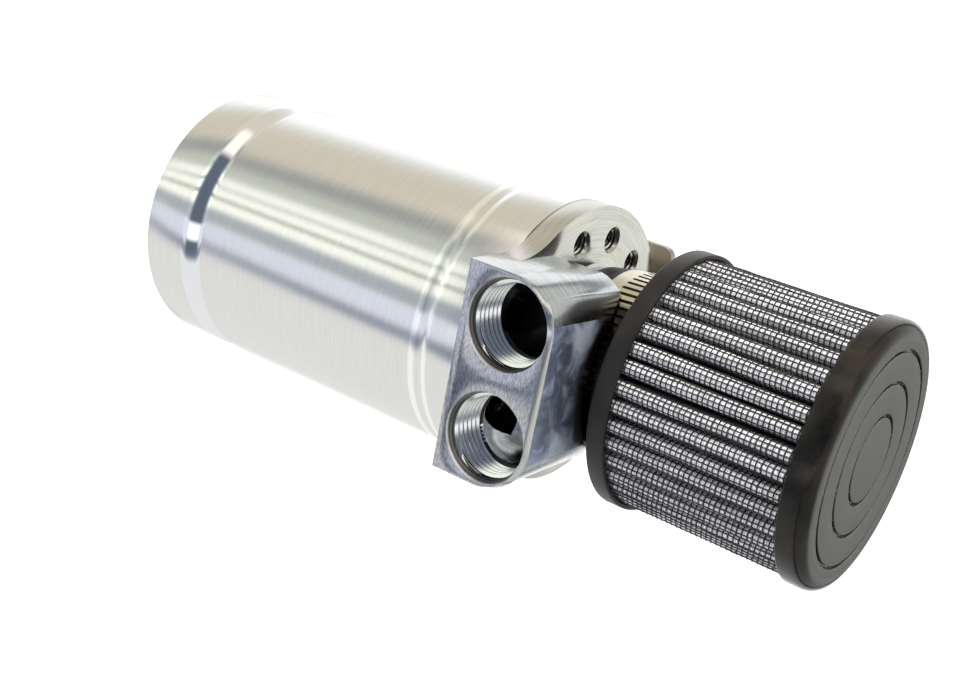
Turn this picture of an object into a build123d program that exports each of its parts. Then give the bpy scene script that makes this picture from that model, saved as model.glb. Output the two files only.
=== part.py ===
# Oil catch can for an engine bay: a round can with a machined head, two hose ports and a breather filter.
# Millimetres. Z runs up the can's axis from the flat base, and the ports face along -Y.
import os
from math import atan2, cos, radians, sin, sqrt

from build123d import *

os.makedirs("parts", exist_ok=True)

# Can body
can_diameter = 80.0
can_wall = 2.0
can_height = 125.3
base_bead_height = 19.5
base_bead_width = 5.0
base_bead_depth = 1.1
head_bead_drop = 17.4
head_bead_width = 3.6
head_bead_depth = 0.9
bead_clearance = 0.1

# Base plug and its drain
plug_clearance = 0.05
plug_length = 27.0
plug_floor = 9.0
plug_wall = 6.5
o_ring_section = 2.6
o_ring_squeeze = 0.15
o_ring_groove_play = 0.6
o_ring_skin_gap = 0.03
base_o_ring_height = 11.5
drain_thread_radius = 7.0
drain_thread_length = 8.0
drain_flange_radius = 10.5
drain_flange_height = 3.0
drain_recess = 0.6
drain_running_clearance = 0.05
drain_thread_chamfer = 0.8
drain_flange_chamfer = 0.5
drain_flange_gap = 0.3
drain_flange_room = 0.8
drain_boss_wall = 3.0
drain_boss_lip = 1.0
drain_washer_thickness = 1.0
drain_washer_setback = 0.3
drain_washer_play = 0.2
drain_socket_flats = 6.0
drain_socket_depth = 5.0

# Head disc
rim_thickness = 6.5
head_plate = 12.5
spigot_length = 24.0
spigot_wall = 4.4
head_o_ring_drop = 8.3
side_blend_radius = 24.0

# Port block
port_pitch = 30.0
boss_radius = 13.1
port_height = 7.4
port_face_overhang = 8.8
block_back_depth = 23.8
port_chamfer = 1.3
port_thread_radius = 11.1
port_core_radius = 10.2
port_mouth_radius = 11.95
port_seat_depth = 2.6
port_thread_depth = 13.5
port_thread_runout = 0.4
cut_overrun = 0.5
left_chamber_radius = 7.9
left_chamber_offset = 16.0
left_chamber_depth = 16.8
left_chamber_rise = 4.8
right_chamber_radius = 7.6
right_chamber_offset = 13.0
right_chamber_depth = 21.8
chamber_floor = 7.7
chamber_roof_gap = 1.3
passage_radius = 4.5
passage_offset = 12.5
passage_depth = 22.8
clamp_room_clearance = 1.1
clamp_room_drop = 0.5

# Neck that carries the filter
neck_radius = 22.2
neck_length = 26.2
vent_radius = 15.5
neck_root_radius = 1.6
neck_lip_chamfer = 1.0

# Tapped holes in the top of the head
top_hole_margin = 9.3
top_hole_radius = 3.0
top_hole_depth = 10.0
top_hole_mouth = 3.9
top_hole_start = -15.0
top_hole_step = 30.0
top_hole_count = 8

# Parts inside the can
mesh_radius = 19.5
mesh_gap = 0.2
baffle_edge_gap = 1.55
baffle_thickness = 1.5
baffle_hole_ring_radius = 13.45
baffle_hole_radius = 2.0
baffle_hole_count = 10
spacer_radius = 4.0
spacer_length = 14.0
spacer_margin = 7.55
spacer_count = 3
spacer_start = 90.0
stud_radius = 2.0
stud_depth = 7.0
stud_end_gap = 1.0
stud_clearance = 0.05
stud_hole_clearance = 0.1
stud_head_radius = 3.6
stud_head_height = 2.4

# Bracket on the back
bracket_thickness = 2.5
bracket_leg_width = 27.0
bracket_leg_margin = 6.1
bracket_gap = 1.5
bracket_bend_radius = 1.5
bracket_relief = 1.0
bracket_plate_width = 49.0
bracket_plate_height = 72.0
bracket_corner_radius = 3.4
bracket_hole_radius = 3.3
bracket_hole_spacing_x = 34.0
bracket_hole_spacing_z = 40.0
bracket_hole_margin = 17.0
screw_radius = 2.9
screw_length = 10.0
screw_head_radius = 4.9
screw_head_height = 3.2
screw_head_rounding = 1.6
screw_socket_flats = 4.0
screw_socket_depth = 1.8
washer_radius = 5.6
washer_thickness = 1.0
leg_hole_clearance = 0.4

# Filter
collar_wall = 2.8
collar_gap = 4.2
collar_clearance = 0.05
collar_lip_radius = 1.0
ring_height = 27.7
ring_thickness = 5.5
ring_wall = 1.3
ring_edge_radius = 0.7
stop_lip = 2.4
stop_gap = 0.3
filter_height = 88.2
cap_thickness = 7.5
cap_wall = 1.1
cap_edge_radius = 3.2
cap_rim_radius = 0.5
cap_groove_radii = (28.5, 20.2, 11.7)
cap_groove_width = 0.9
cap_groove_depth = 0.6
pleat_count = 40
pleat_depth = 10.1
pleat_crest_width = 3.5
pleat_root_margin = 2.3
pleat_root_gap = 1.1
media_thickness = 1.2
pleat_seat_depth = 3.0
pleat_clearance = 0.15

# Worm clamp
band_start = 12.2
band_width = 14.2
band_thickness = 0.7
band_clearance = 0.05
slot_pitch_angle = 5.7
slot_count = 30
slot_length = 6.4
slot_width = 1.1
slot_lean = 4.5
slot_start = 107.1
slot_cut_margin = 0.4
housing_length = 13.0
housing_wall = 1.0
housing_foot_lift = 0.25
housing_seat_gap = 0.02
worm_radius = 3.4
worm_clearance = 0.06
worm_lift = 0.2
worm_tail = 1.0
worm_end_gap = 0.3
hex_flats = 7.0
hex_length = 5.5
hex_flange_radius = 4.3
hex_flange_thickness = 1.0
hex_slot_width = 1.2
hex_slot_depth = 1.8

# Sizes that follow from the ones above
can_radius = can_diameter / 2
head_bead_height = can_height - head_bead_drop
head_o_ring_height = can_height - head_o_ring_drop
bore_radius = can_radius - can_wall
plug_radius = bore_radius - plug_clearance
disc_top = can_height + rim_thickness
hollow_top = disc_top - head_plate
spigot_bottom = can_height - spigot_length
spigot_bore = plug_radius - spigot_wall
baffle_radius = spigot_bore - baffle_edge_gap
spacer_ring_radius = spigot_bore - spacer_margin
port_face_distance = can_radius + port_face_overhang
block_back_distance = port_face_distance - block_back_depth
passage_distance = port_face_distance - passage_depth
port_offset = port_pitch / 2
block_half_width = port_offset + boss_radius
port_z = disc_top + port_height
block_top = port_z + boss_radius
collar_bottom = disc_top + collar_gap
clamp_room_floor = collar_bottom - clamp_room_drop
collar_bore = neck_radius + collar_clearance
collar_radius = collar_bore + collar_wall
band_bottom = disc_top + band_start
band_inner = collar_radius + band_clearance
band_outer = band_inner + band_thickness
band_middle = band_bottom + band_width / 2
ring_bottom = disc_top + ring_height
ring_top = ring_bottom + ring_thickness
filter_top = disc_top + filter_height
cap_bottom = filter_top - cap_thickness
neck_top = disc_top + neck_length
pleat_root_radius = neck_radius + pleat_root_margin
pleat_crest_radius = pleat_root_radius + pleat_depth
ring_radius = pleat_crest_radius + ring_wall
cap_radius = pleat_crest_radius + cap_wall
top_hole_ring_radius = can_radius - top_hole_margin
bracket_leg_start = top_hole_ring_radius - bracket_leg_margin
bracket_screw_angles = (75.0, 105.0)


# A rolled bead: a shallow round groove outside with its matching swell inside
def bead_arc(radius, height, width, depth):
    return ThreePointArc((radius, height - width / 2), (radius - depth, height), (radius, height + width / 2))


# Can body, rolled in twice over the plug and the head
with BuildPart() as can_body:
    with BuildSketch(Plane.XZ):
        with BuildLine():
            base_groove = bead_arc(can_radius, base_bead_height, base_bead_width, base_bead_depth)
            head_groove = bead_arc(can_radius, head_bead_height, head_bead_width, head_bead_depth)
            base_swell = bead_arc(bore_radius, base_bead_height, base_bead_width, base_bead_depth)
            head_swell = bead_arc(bore_radius, head_bead_height, head_bead_width, head_bead_depth)
            Line((can_radius, 0), base_groove @ 0)
            Line(base_groove @ 1, head_groove @ 0)
            Line(head_groove @ 1, (can_radius, can_height))
            Line((can_radius, can_height), (bore_radius, can_height))
            Line((bore_radius, can_height), head_swell @ 1)
            Line(head_swell @ 0, base_swell @ 1)
            Line(base_swell @ 0, (bore_radius, 0))
            Line((bore_radius, 0), (can_radius, 0))
        make_face()
    revolve(axis=Axis.Z)


# Ring groove for an O-ring that is squeezed against the can's bore
o_ring_groove_depth = o_ring_section - o_ring_squeeze
o_ring_groove_width = o_ring_section + o_ring_groove_play


# Base plug: a cup with a bead groove, an O-ring groove and a drain boss
base_cup_radius = plug_radius - plug_wall
drain_counterbore = drain_recess + drain_flange_height + drain_flange_gap + drain_washer_thickness
drain_counterbore_radius = drain_flange_radius + drain_flange_room
drain_boss_radius = drain_counterbore_radius + drain_boss_wall
drain_boss_top = drain_counterbore + drain_thread_length + drain_boss_lip
with BuildPart() as base_plug:
    with BuildSketch(Plane.XZ):
        with BuildLine():
            Polyline(
                (0, 0),
                (plug_radius, 0),
                (plug_radius, plug_length),
                (base_cup_radius, plug_length),
                (base_cup_radius, plug_floor),
                (drain_boss_radius, plug_floor),
                (drain_boss_radius, drain_boss_top),
                (0, drain_boss_top),
                close=True,
            )
        make_face()
        with Locations((plug_radius, base_o_ring_height)):
            Rectangle(2 * o_ring_groove_depth, o_ring_groove_width, mode=Mode.SUBTRACT)
        with Locations((plug_radius, base_bead_height)):
            Rectangle(
                2 * (base_bead_depth + bead_clearance),
                base_bead_width + 2 * bead_clearance,
                mode=Mode.SUBTRACT,
            )
    revolve(axis=Axis.Z)
    with Locations((0, 0, 0)):
        Cylinder(
            drain_counterbore_radius,
            drain_counterbore,
            align=(Align.CENTER, Align.CENTER, Align.MIN),
            mode=Mode.SUBTRACT,
        )
        Cylinder(
            drain_thread_radius,
            drain_boss_top,
            align=(Align.CENTER, Align.CENTER, Align.MIN),
            mode=Mode.SUBTRACT,
        )


# An O-ring seated between its groove and the bore, its section flattened a little by the squeeze
def o_ring_profile(height):
    with BuildSketch(Plane.XZ) as profile:
        with Locations((plug_radius - (o_ring_groove_depth - plug_clearance) / 2, height)):
            Ellipse((o_ring_groove_depth + plug_clearance) / 2 - o_ring_skin_gap, o_ring_section / 2)
    return profile.sketch


with BuildPart() as base_o_ring:
    revolve(o_ring_profile(base_o_ring_height), axis=Axis.Z)

with BuildPart() as head_o_ring:
    revolve(o_ring_profile(head_o_ring_height), axis=Axis.Z)


# Drain plug with a flanged head, a hexagon socket and a crush washer
flange_bottom = drain_recess
flange_top = flange_bottom + drain_flange_height
with BuildPart() as drain_plug:
    with BuildSketch(Plane.XY.offset(flange_bottom)):
        Circle(drain_flange_radius)
    extrude(amount=drain_flange_height)
    with BuildSketch(Plane.XY.offset(flange_top)):
        Circle(drain_thread_radius - drain_running_clearance)
    extrude(amount=drain_thread_length)
    chamfer(drain_plug.edges().group_by(Axis.Z)[-1], length=drain_thread_chamfer)
    chamfer(drain_plug.edges().group_by(Axis.Z)[0], length=drain_flange_chamfer)
    with BuildSketch(Plane.XY.offset(flange_bottom)):
        RegularPolygon(drain_socket_flats / 2, 6, major_radius=False)
    extrude(amount=drain_socket_depth, mode=Mode.SUBTRACT)

with BuildPart() as drain_washer:
    with BuildSketch(Plane.XY.offset(flange_top + drain_flange_gap)):
        Circle(drain_flange_radius - drain_washer_setback)
        Circle(drain_thread_radius + drain_washer_play, mode=Mode.SUBTRACT)
    extrude(amount=drain_washer_thickness)


# Plan of the head: the can's circle, blended by two hollow curves into the straight sides of the block
blend_centre_x = block_half_width + side_blend_radius
blend_centre_y = -sqrt((can_radius + side_blend_radius) ** 2 - blend_centre_x**2)
blend_share = can_radius / (can_radius + side_blend_radius)
blend_on_circle = (blend_centre_x * blend_share, blend_centre_y * blend_share)
blend_turn = atan2(-blend_centre_y, blend_centre_x) / 2
blend_middle = (
    blend_centre_x - side_blend_radius * cos(blend_turn),
    blend_centre_y + side_blend_radius * sin(blend_turn),
)
with BuildSketch() as head_plan:
    with BuildLine():
        Polyline(
            (block_half_width, blend_centre_y),
            (block_half_width, -port_face_distance),
            (-block_half_width, -port_face_distance),
            (-block_half_width, blend_centre_y),
        )
        ThreePointArc((block_half_width, blend_centre_y), blend_middle, blend_on_circle)
        ThreePointArc(blend_on_circle, (0, can_radius), (-blend_on_circle[0], blend_on_circle[1]))
        ThreePointArc(
            (-blend_on_circle[0], blend_on_circle[1]),
            (-blend_middle[0], blend_middle[1]),
            (-block_half_width, blend_centre_y),
        )
    make_face()


# Face profile of the block: square at the can, two corners round the ports, optionally eased at the front
def block_profile(y_plane, ease):
    rounding = boss_radius - ease
    corner = boss_radius / sqrt(2)
    eased_corner = corner - ease / 2
    with BuildSketch(Plane.XZ.offset(-y_plane)) as profile:
        with BuildLine():
            Polyline(
                (-block_half_width, port_z),
                (-block_half_width, can_height),
                (block_half_width, can_height),
                (block_half_width, port_z),
            )
            ThreePointArc(
                (block_half_width, port_z),
                (port_offset + eased_corner, port_z + eased_corner),
                (port_offset, port_z + rounding),
            )
            Line((port_offset, port_z + rounding), (-port_offset, port_z + rounding))
            ThreePointArc(
                (-port_offset, port_z + rounding),
                (-port_offset - eased_corner, port_z + eased_corner),
                (-block_half_width, port_z),
            )
        make_face()
    return profile.sketch


# Port block: the face profile run back to a round end, with the bright eased edge at its front
with BuildPart() as port_block:
    loft(
        [
            block_profile(-port_face_distance, port_chamfer),
            block_profile(-port_face_distance + port_chamfer, 0),
        ],
        ruled=True,
    )
    extrude(
        block_profile(-port_face_distance + port_chamfer, 0),
        amount=-(port_face_distance - port_chamfer + block_half_width - block_back_distance),
    )
    with BuildSketch(Plane.XY.offset(can_height)):
        with Locations((0, -block_back_distance)):
            Circle(block_half_width)
            Rectangle(2 * block_half_width, port_face_distance, align=(Align.CENTER, Align.MAX))
    extrude(amount=block_top - can_height, mode=Mode.INTERSECT)
    with Locations((0, 0, clamp_room_floor)):
        Cylinder(
            band_outer + clamp_room_clearance,
            block_top,
            align=(Align.CENTER, Align.CENTER, Align.MIN),
            mode=Mode.SUBTRACT,
        )

# One port: seat cone, thread bore and a ball end where the cutter stopped
ball_start = port_thread_depth + port_thread_runout
with BuildPart() as port_cutter:
    with BuildSketch(Plane.XY):
        with BuildLine():
            Polyline(
                (0, -cut_overrun),
                (port_mouth_radius, -cut_overrun),
                (port_mouth_radius, 0),
                (port_thread_radius, port_seat_depth),
                (port_thread_radius, port_thread_depth),
                (port_core_radius, ball_start),
            )
            ThreePointArc(
                (port_core_radius, ball_start),
                (port_core_radius / sqrt(2), ball_start + port_core_radius / sqrt(2)),
                (0, ball_start + port_core_radius),
            )
            Line((0, ball_start + port_core_radius), (0, -cut_overrun))
        make_face()
    revolve(axis=Axis.Y)

# The whole head, turned and milled from one billet, with a chamber behind each port that leads down into the can
with BuildPart() as head:
    with BuildSketch(Plane.XY.offset(can_height)):
        add(head_plan.sketch)
    extrude(amount=rim_thickness)
    add(port_block.part)
    with BuildSketch(Plane.XZ):
        with BuildLine():
            Polyline(
                (0, hollow_top),
                (spigot_bore, hollow_top),
                (spigot_bore, spigot_bottom),
                (plug_radius, spigot_bottom),
                (plug_radius, can_height),
                (0, can_height),
                close=True,
            )
        make_face()
        with Locations((plug_radius, head_o_ring_height)):
            Rectangle(2 * o_ring_groove_depth, o_ring_groove_width, mode=Mode.SUBTRACT)
        with Locations((plug_radius, head_bead_height)):
            Rectangle(
                2 * (head_bead_depth + bead_clearance),
                head_bead_width + 2 * bead_clearance,
                mode=Mode.SUBTRACT,
            )
    revolve(axis=Axis.Z)
    with BuildSketch(Plane.XZ):
        with BuildLine():
            Polyline(
                (0, can_height),
                (neck_radius + neck_root_radius, can_height),
                (neck_radius + neck_root_radius, disc_top),
            )
            ThreePointArc(
                (neck_radius + neck_root_radius, disc_top),
                (
                    neck_radius + neck_root_radius * (1 - 1 / sqrt(2)),
                    disc_top + neck_root_radius * (1 - 1 / sqrt(2)),
                ),
                (neck_radius, disc_top + neck_root_radius),
            )
            Polyline(
                (neck_radius, disc_top + neck_root_radius),
                (neck_radius, neck_top - neck_lip_chamfer),
                (neck_radius - neck_lip_chamfer, neck_top),
                (0, neck_top),
                (0, can_height),
            )
        make_face()
    revolve(axis=Axis.Z)
    with Locations((0, 0, hollow_top)):
        Cylinder(
            vent_radius,
            neck_top,
            align=(Align.CENTER, Align.CENTER, Align.MIN),
            mode=Mode.SUBTRACT,
        )
    with Locations((-port_offset, -port_face_distance, port_z), (port_offset, -port_face_distance, port_z)):
        add(port_cutter.part, mode=Mode.SUBTRACT)
    with BuildSketch(Plane.XY.offset(hollow_top)):
        with Locations((-passage_offset, -passage_distance), (passage_offset, -passage_distance)):
            Circle(passage_radius)
    extrude(amount=chamber_floor + port_thread_runout, mode=Mode.SUBTRACT)
    with BuildSketch(Plane.XY.offset(hollow_top + chamber_floor)):
        with Locations((-left_chamber_offset, -port_face_distance + left_chamber_depth)):
            Circle(left_chamber_radius)
    extrude(amount=port_z + left_chamber_rise - hollow_top - chamber_floor, mode=Mode.SUBTRACT)
    with BuildSketch(Plane.XY.offset(hollow_top + chamber_floor)):
        with Locations((right_chamber_offset, -port_face_distance + right_chamber_depth)):
            Circle(right_chamber_radius)
    extrude(amount=clamp_room_floor - chamber_roof_gap - hollow_top - chamber_floor, mode=Mode.SUBTRACT)
    with Locations(Plane.XY.offset(disc_top)):
        with PolarLocations(top_hole_ring_radius, top_hole_count, top_hole_start, top_hole_step * top_hole_count):
            Hole(top_hole_radius, depth=top_hole_depth)
            Cone(
                top_hole_radius,
                top_hole_mouth,
                top_hole_mouth - top_hole_radius,
                align=(Align.CENTER, Align.CENTER, Align.MAX),
                mode=Mode.SUBTRACT,
            )
    with Locations(Plane.XY.offset(hollow_top)):
        with PolarLocations(spacer_ring_radius, spacer_count, spacer_start):
            Cylinder(
                stud_radius,
                stud_depth,
                align=(Align.CENTER, Align.CENTER, Align.MIN),
                mode=Mode.SUBTRACT,
            )


# Drip screen: a pad of knitted steel pressed under the vent, held by the baffle below it
baffle_top = hollow_top - spacer_length
with BuildPart() as mesh_pad:
    with BuildSketch(Plane.XY.offset(baffle_top + mesh_gap)):
        Circle(mesh_radius)
    extrude(amount=spacer_length - 2 * mesh_gap)

# Baffle plate that oil drops run off, hung below the head on three spacers
with BuildPart() as baffle_plate:
    with BuildSketch(Plane.XY.offset(baffle_top - baffle_thickness)):
        Circle(baffle_radius)
        with PolarLocations(spacer_ring_radius, spacer_count, spacer_start):
            Circle(stud_radius + stud_hole_clearance, mode=Mode.SUBTRACT)
        with PolarLocations(baffle_hole_ring_radius, baffle_hole_count):
            Circle(baffle_hole_radius, mode=Mode.SUBTRACT)
    extrude(amount=baffle_thickness)

with BuildPart() as baffle_spacers:
    with BuildSketch(Plane.XY.offset(baffle_top)):
        with PolarLocations(spacer_ring_radius, spacer_count, spacer_start):
            Circle(spacer_radius)
            Circle(stud_radius + stud_hole_clearance, mode=Mode.SUBTRACT)
    extrude(amount=spacer_length)

with BuildPart() as baffle_screws:
    with BuildSketch(Plane.XY.offset(baffle_top - baffle_thickness - stud_head_height)):
        with PolarLocations(spacer_ring_radius, spacer_count, spacer_start):
            Circle(stud_head_radius)
    extrude(amount=stud_head_height)
    with BuildSketch(Plane.XY.offset(baffle_top - baffle_thickness)):
        with PolarLocations(spacer_ring_radius, spacer_count, spacer_start):
            Circle(stud_radius - stud_clearance)
    extrude(amount=baffle_thickness + spacer_length + stud_depth - stud_end_gap)


# Sheet bracket: a leg on two of the tapped holes, bent down behind the can into a drilled plate
bracket_front = can_radius + bracket_gap
bracket_back = bracket_front + bracket_thickness
bracket_top = disc_top + bracket_thickness
plate_bottom = bracket_top - bracket_plate_height
plate_hole_top = bracket_top - bracket_hole_margin
with BuildPart() as bracket:
    with BuildSketch(Plane.YZ):
        with BuildLine():
            Polyline(
                (bracket_leg_start, disc_top),
                (bracket_leg_start, bracket_top),
                (bracket_front - bracket_bend_radius, bracket_top),
            )
            ThreePointArc(
                (bracket_front - bracket_bend_radius, bracket_top),
                (
                    bracket_front - bracket_bend_radius + (bracket_thickness + bracket_bend_radius) / sqrt(2),
                    disc_top - bracket_bend_radius + (bracket_thickness + bracket_bend_radius) / sqrt(2),
                ),
                (bracket_back, disc_top - bracket_bend_radius),
            )
            Polyline(
                (bracket_back, disc_top - bracket_bend_radius),
                (bracket_back, disc_top - bracket_bend_radius - bracket_thickness),
                (bracket_front, disc_top - bracket_bend_radius - bracket_thickness),
                (bracket_front, disc_top - bracket_bend_radius),
            )
            ThreePointArc(
                (bracket_front, disc_top - bracket_bend_radius),
                (
                    bracket_front - bracket_bend_radius * (1 - 1 / sqrt(2)),
                    disc_top - bracket_bend_radius * (1 - 1 / sqrt(2)),
                ),
                (bracket_front - bracket_bend_radius, disc_top),
            )
            Line((bracket_front - bracket_bend_radius, disc_top), (bracket_leg_start, disc_top))
        make_face()
    extrude(amount=bracket_leg_width / 2, both=True)
    with BuildSketch(Plane.XZ.offset(-bracket_front)):
        with Locations((0, bracket_top)):
            Rectangle(bracket_plate_width, bracket_plate_height, align=(Align.CENTER, Align.MAX))
        with Locations((0, bracket_top)):
            Rectangle(
                bracket_leg_width + 2 * bracket_thickness,
                2 * (bracket_thickness + bracket_bend_radius + bracket_relief),
                mode=Mode.SUBTRACT,
            )
        with Locations((0, plate_hole_top - bracket_hole_spacing_z / 2)):
            with GridLocations(bracket_hole_spacing_x, bracket_hole_spacing_z, 2, 2):
                Circle(bracket_hole_radius, mode=Mode.SUBTRACT)
    extrude(amount=-bracket_thickness)
    with BuildSketch(Plane.XY.offset(disc_top)):
        for angle in bracket_screw_angles:
            with PolarLocations(top_hole_ring_radius, 1, start_angle=angle):
                Circle(top_hole_radius + leg_hole_clearance)
    extrude(amount=bracket_thickness, mode=Mode.SUBTRACT)
    outer_corners = bracket.edges().filter_by(Axis.Y).filter_by(
        lambda edge: abs(abs(edge.center().X) - bracket_plate_width / 2) < 0.01
    )
    fillet(outer_corners, radius=bracket_corner_radius)

with BuildPart() as bracket_washers:
    with BuildSketch(Plane.XY.offset(bracket_top)):
        for angle in bracket_screw_angles:
            with PolarLocations(top_hole_ring_radius, 1, start_angle=angle):
                Circle(washer_radius)
                Circle(top_hole_radius + leg_hole_clearance, mode=Mode.SUBTRACT)
    extrude(amount=washer_thickness)

# Round-headed screws with hexagon sockets
screw_seat = bracket_top + washer_thickness
with BuildPart() as bracket_screws:
    for angle in bracket_screw_angles:
        with BuildSketch(Plane.XY.offset(screw_seat - screw_length)):
            with PolarLocations(top_hole_ring_radius, 1, start_angle=angle):
                Circle(screw_radius)
        extrude(amount=screw_length)
        with BuildSketch(Plane.XY.offset(screw_seat)):
            with PolarLocations(top_hole_ring_radius, 1, start_angle=angle):
                Circle(screw_head_radius)
        extrude(amount=screw_head_height)
    fillet(bracket_screws.edges().group_by(Axis.Z)[-1], radius=screw_head_rounding)
    with BuildSketch(Plane.XY.offset(screw_seat + screw_head_height)):
        for angle in bracket_screw_angles:
            with PolarLocations(top_hole_ring_radius, 1, start_angle=angle):
                RegularPolygon(screw_socket_flats / 2, 6, major_radius=False)
    extrude(amount=-screw_socket_depth, mode=Mode.SUBTRACT)


# Rubber foot of the filter: a collar for the neck, a stop lip, and a ring with a channel for the pleats
channel_inner = pleat_root_radius - media_thickness - pleat_root_gap / 2 - 2 * pleat_clearance
channel_outer = pleat_crest_radius + pleat_clearance
with BuildPart() as filter_base:
    with BuildSketch(Plane.XZ):
        with BuildLine():
            Polyline(
                (collar_bore, collar_bottom),
                (collar_radius - collar_lip_radius, collar_bottom),
                (collar_radius, collar_bottom + collar_lip_radius),
                (collar_radius, ring_bottom),
                (ring_radius, ring_bottom),
                (ring_radius, ring_top),
                (channel_outer, ring_top),
                (channel_outer, ring_top - pleat_seat_depth),
                (channel_inner, ring_top - pleat_seat_depth),
                (channel_inner, ring_top),
                (collar_bore - stop_lip, ring_top),
                (collar_bore - stop_lip, neck_top + stop_gap),
                (collar_bore, neck_top + stop_gap),
                close=True,
            )
        make_face()
    revolve(axis=Axis.Z)
    ring_rims = filter_base.edges().filter_by(GeomType.CIRCLE).filter_by(
        lambda edge: abs(edge.radius - ring_radius) < 0.01
    )
    fillet(ring_rims, radius=ring_edge_radius)


# Rubber cap over the far end of the pleats, with three shallow rings pressed into its face
with BuildPart() as filter_cap:
    with BuildSketch(Plane.XZ):
        with BuildLine():
            Polyline(
                (0, filter_top),
                (0, cap_bottom),
                (channel_inner, cap_bottom),
                (channel_inner, cap_bottom + pleat_seat_depth),
                (channel_outer, cap_bottom + pleat_seat_depth),
                (channel_outer, cap_bottom),
                (cap_radius, cap_bottom),
                (cap_radius, filter_top),
                close=True,
            )
        make_face()
        for groove_radius in cap_groove_radii:
            with Locations((groove_radius, filter_top)):
                Rectangle(cap_groove_width, 2 * cap_groove_depth, mode=Mode.SUBTRACT)
    revolve(axis=Axis.Z)
    cap_circles = filter_cap.edges().filter_by(GeomType.CIRCLE).filter_by(
        lambda edge: abs(edge.radius - cap_radius) < 0.01
    )
    fillet(cap_circles.sort_by(Axis.Z)[-1], radius=cap_edge_radius)
    fillet(cap_circles.sort_by(Axis.Z)[0], radius=cap_rim_radius)


# A point of the pleats, given by its place round the axis, its distance out and its step sideways
def pleat_point(angle, outward, sideways):
    turn = radians(angle)
    return (
        outward * cos(turn) - sideways * sin(turn),
        outward * sin(turn) + sideways * cos(turn),
    )


# One closed outline of the pleats: a round crest and a round root for each fold
def pleat_outline(crest_half_width, root_half_width):
    pitch = 360.0 / pleat_count
    crest_centre = pleat_crest_radius - pleat_crest_width / 2
    root_centre = pleat_root_radius + pleat_root_gap / 2
    with BuildSketch() as outline:
        with BuildLine():
            for fold in range(pleat_count):
                crest = fold * pitch
                root = crest + pitch / 2
                crest_end = pleat_point(crest, crest_centre, crest_half_width)
                root_start = pleat_point(root, root_centre, -root_half_width)
                root_end = pleat_point(root, root_centre, root_half_width)
                ThreePointArc(
                    pleat_point(crest, crest_centre, -crest_half_width),
                    pleat_point(crest, crest_centre + crest_half_width, 0),
                    crest_end,
                )
                Line(crest_end, root_start)
                ThreePointArc(root_start, pleat_point(root, root_centre - root_half_width, 0), root_end)
                Line(root_end, pleat_point(crest + pitch, crest_centre, -crest_half_width))
        make_face()
    return outline.sketch


# Pleated filter medium, one sheet folded forty times and closed into a ring
pleat_bottom = ring_top - pleat_seat_depth
pleat_top = cap_bottom + pleat_seat_depth
with BuildPart() as pleat_pack:
    with BuildSketch(Plane.XY.offset(pleat_bottom)):
        add(pleat_outline(pleat_crest_width / 2, pleat_root_gap / 2))
        add(
            pleat_outline(pleat_crest_width / 2 - media_thickness, pleat_root_gap / 2 + media_thickness),
            mode=Mode.SUBTRACT,
        )
    extrude(amount=pleat_top - pleat_bottom)


# Worm clamp band with its leaning slots
with BuildPart() as clamp_band:
    with BuildSketch(Plane.XY.offset(band_bottom)):
        Circle(band_outer)
        Circle(band_inner, mode=Mode.SUBTRACT)
    extrude(amount=band_width)
    for index in range(slot_count):
        turn = slot_start + index * slot_pitch_angle
        outward = Vector(cos(radians(turn)), sin(radians(turn)), 0)
        along = Vector(0, 0, 1).rotate(Axis((0, 0, 0), outward), slot_lean)
        slot_plane = Plane(
            origin=outward * band_outer + Vector(0, 0, band_middle),
            x_dir=along,
            z_dir=outward,
        )
        with BuildSketch(slot_plane):
            SlotOverall(slot_length, slot_width)
        extrude(amount=band_thickness + slot_cut_margin, both=True, mode=Mode.SUBTRACT)

# Screw housing of the clamp, an arched strip over the worm
worm_y = band_outer + worm_lift + worm_radius
housing_bore = worm_radius + worm_clearance
housing_outer = housing_bore + housing_wall
housing_foot = sqrt(band_outer**2 - housing_outer**2) + housing_foot_lift
with BuildPart() as clamp_housing:
    with BuildSketch(Plane.YZ):
        with Locations((worm_y, band_middle)):
            Circle(housing_outer)
            with Locations((0, 0)):
                Rectangle(worm_y - housing_foot, 2 * housing_outer, align=(Align.MAX, Align.CENTER))
        with Locations((worm_y, band_middle)):
            Circle(housing_bore, mode=Mode.SUBTRACT)
            Rectangle(worm_y, 2 * housing_bore, align=(Align.MAX, Align.CENTER), mode=Mode.SUBTRACT)
    extrude(amount=housing_length / 2, both=True)
    with Locations((0, 0, band_middle)):
        Cylinder(band_outer + housing_seat_gap, 4 * housing_outer, mode=Mode.SUBTRACT)

# Clamp screw: the worm, its flange and a slotted hexagon head
flange_start = housing_length / 2 + worm_end_gap
with BuildPart() as clamp_screw:
    with BuildSketch(Plane.YZ.offset(-housing_length / 2 - worm_tail)):
        with Locations((worm_y, band_middle)):
            Circle(worm_radius)
    extrude(amount=housing_length + worm_tail + worm_end_gap)
    with BuildSketch(Plane.YZ.offset(flange_start)):
        with Locations((worm_y, band_middle)):
            Circle(hex_flange_radius)
    extrude(amount=hex_flange_thickness)
    with BuildSketch(Plane.YZ.offset(flange_start + hex_flange_thickness)):
        with Locations((worm_y, band_middle)):
            RegularPolygon(hex_flats / 2, 6, major_radius=False)
    extrude(amount=hex_length)
    with BuildSketch(Plane.YZ.offset(flange_start + hex_flange_thickness + hex_length)):
        with Locations((worm_y, band_middle)):
            Rectangle(hex_slot_width, 2 * hex_flats)
    extrude(amount=-hex_slot_depth, mode=Mode.SUBTRACT)


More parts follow.
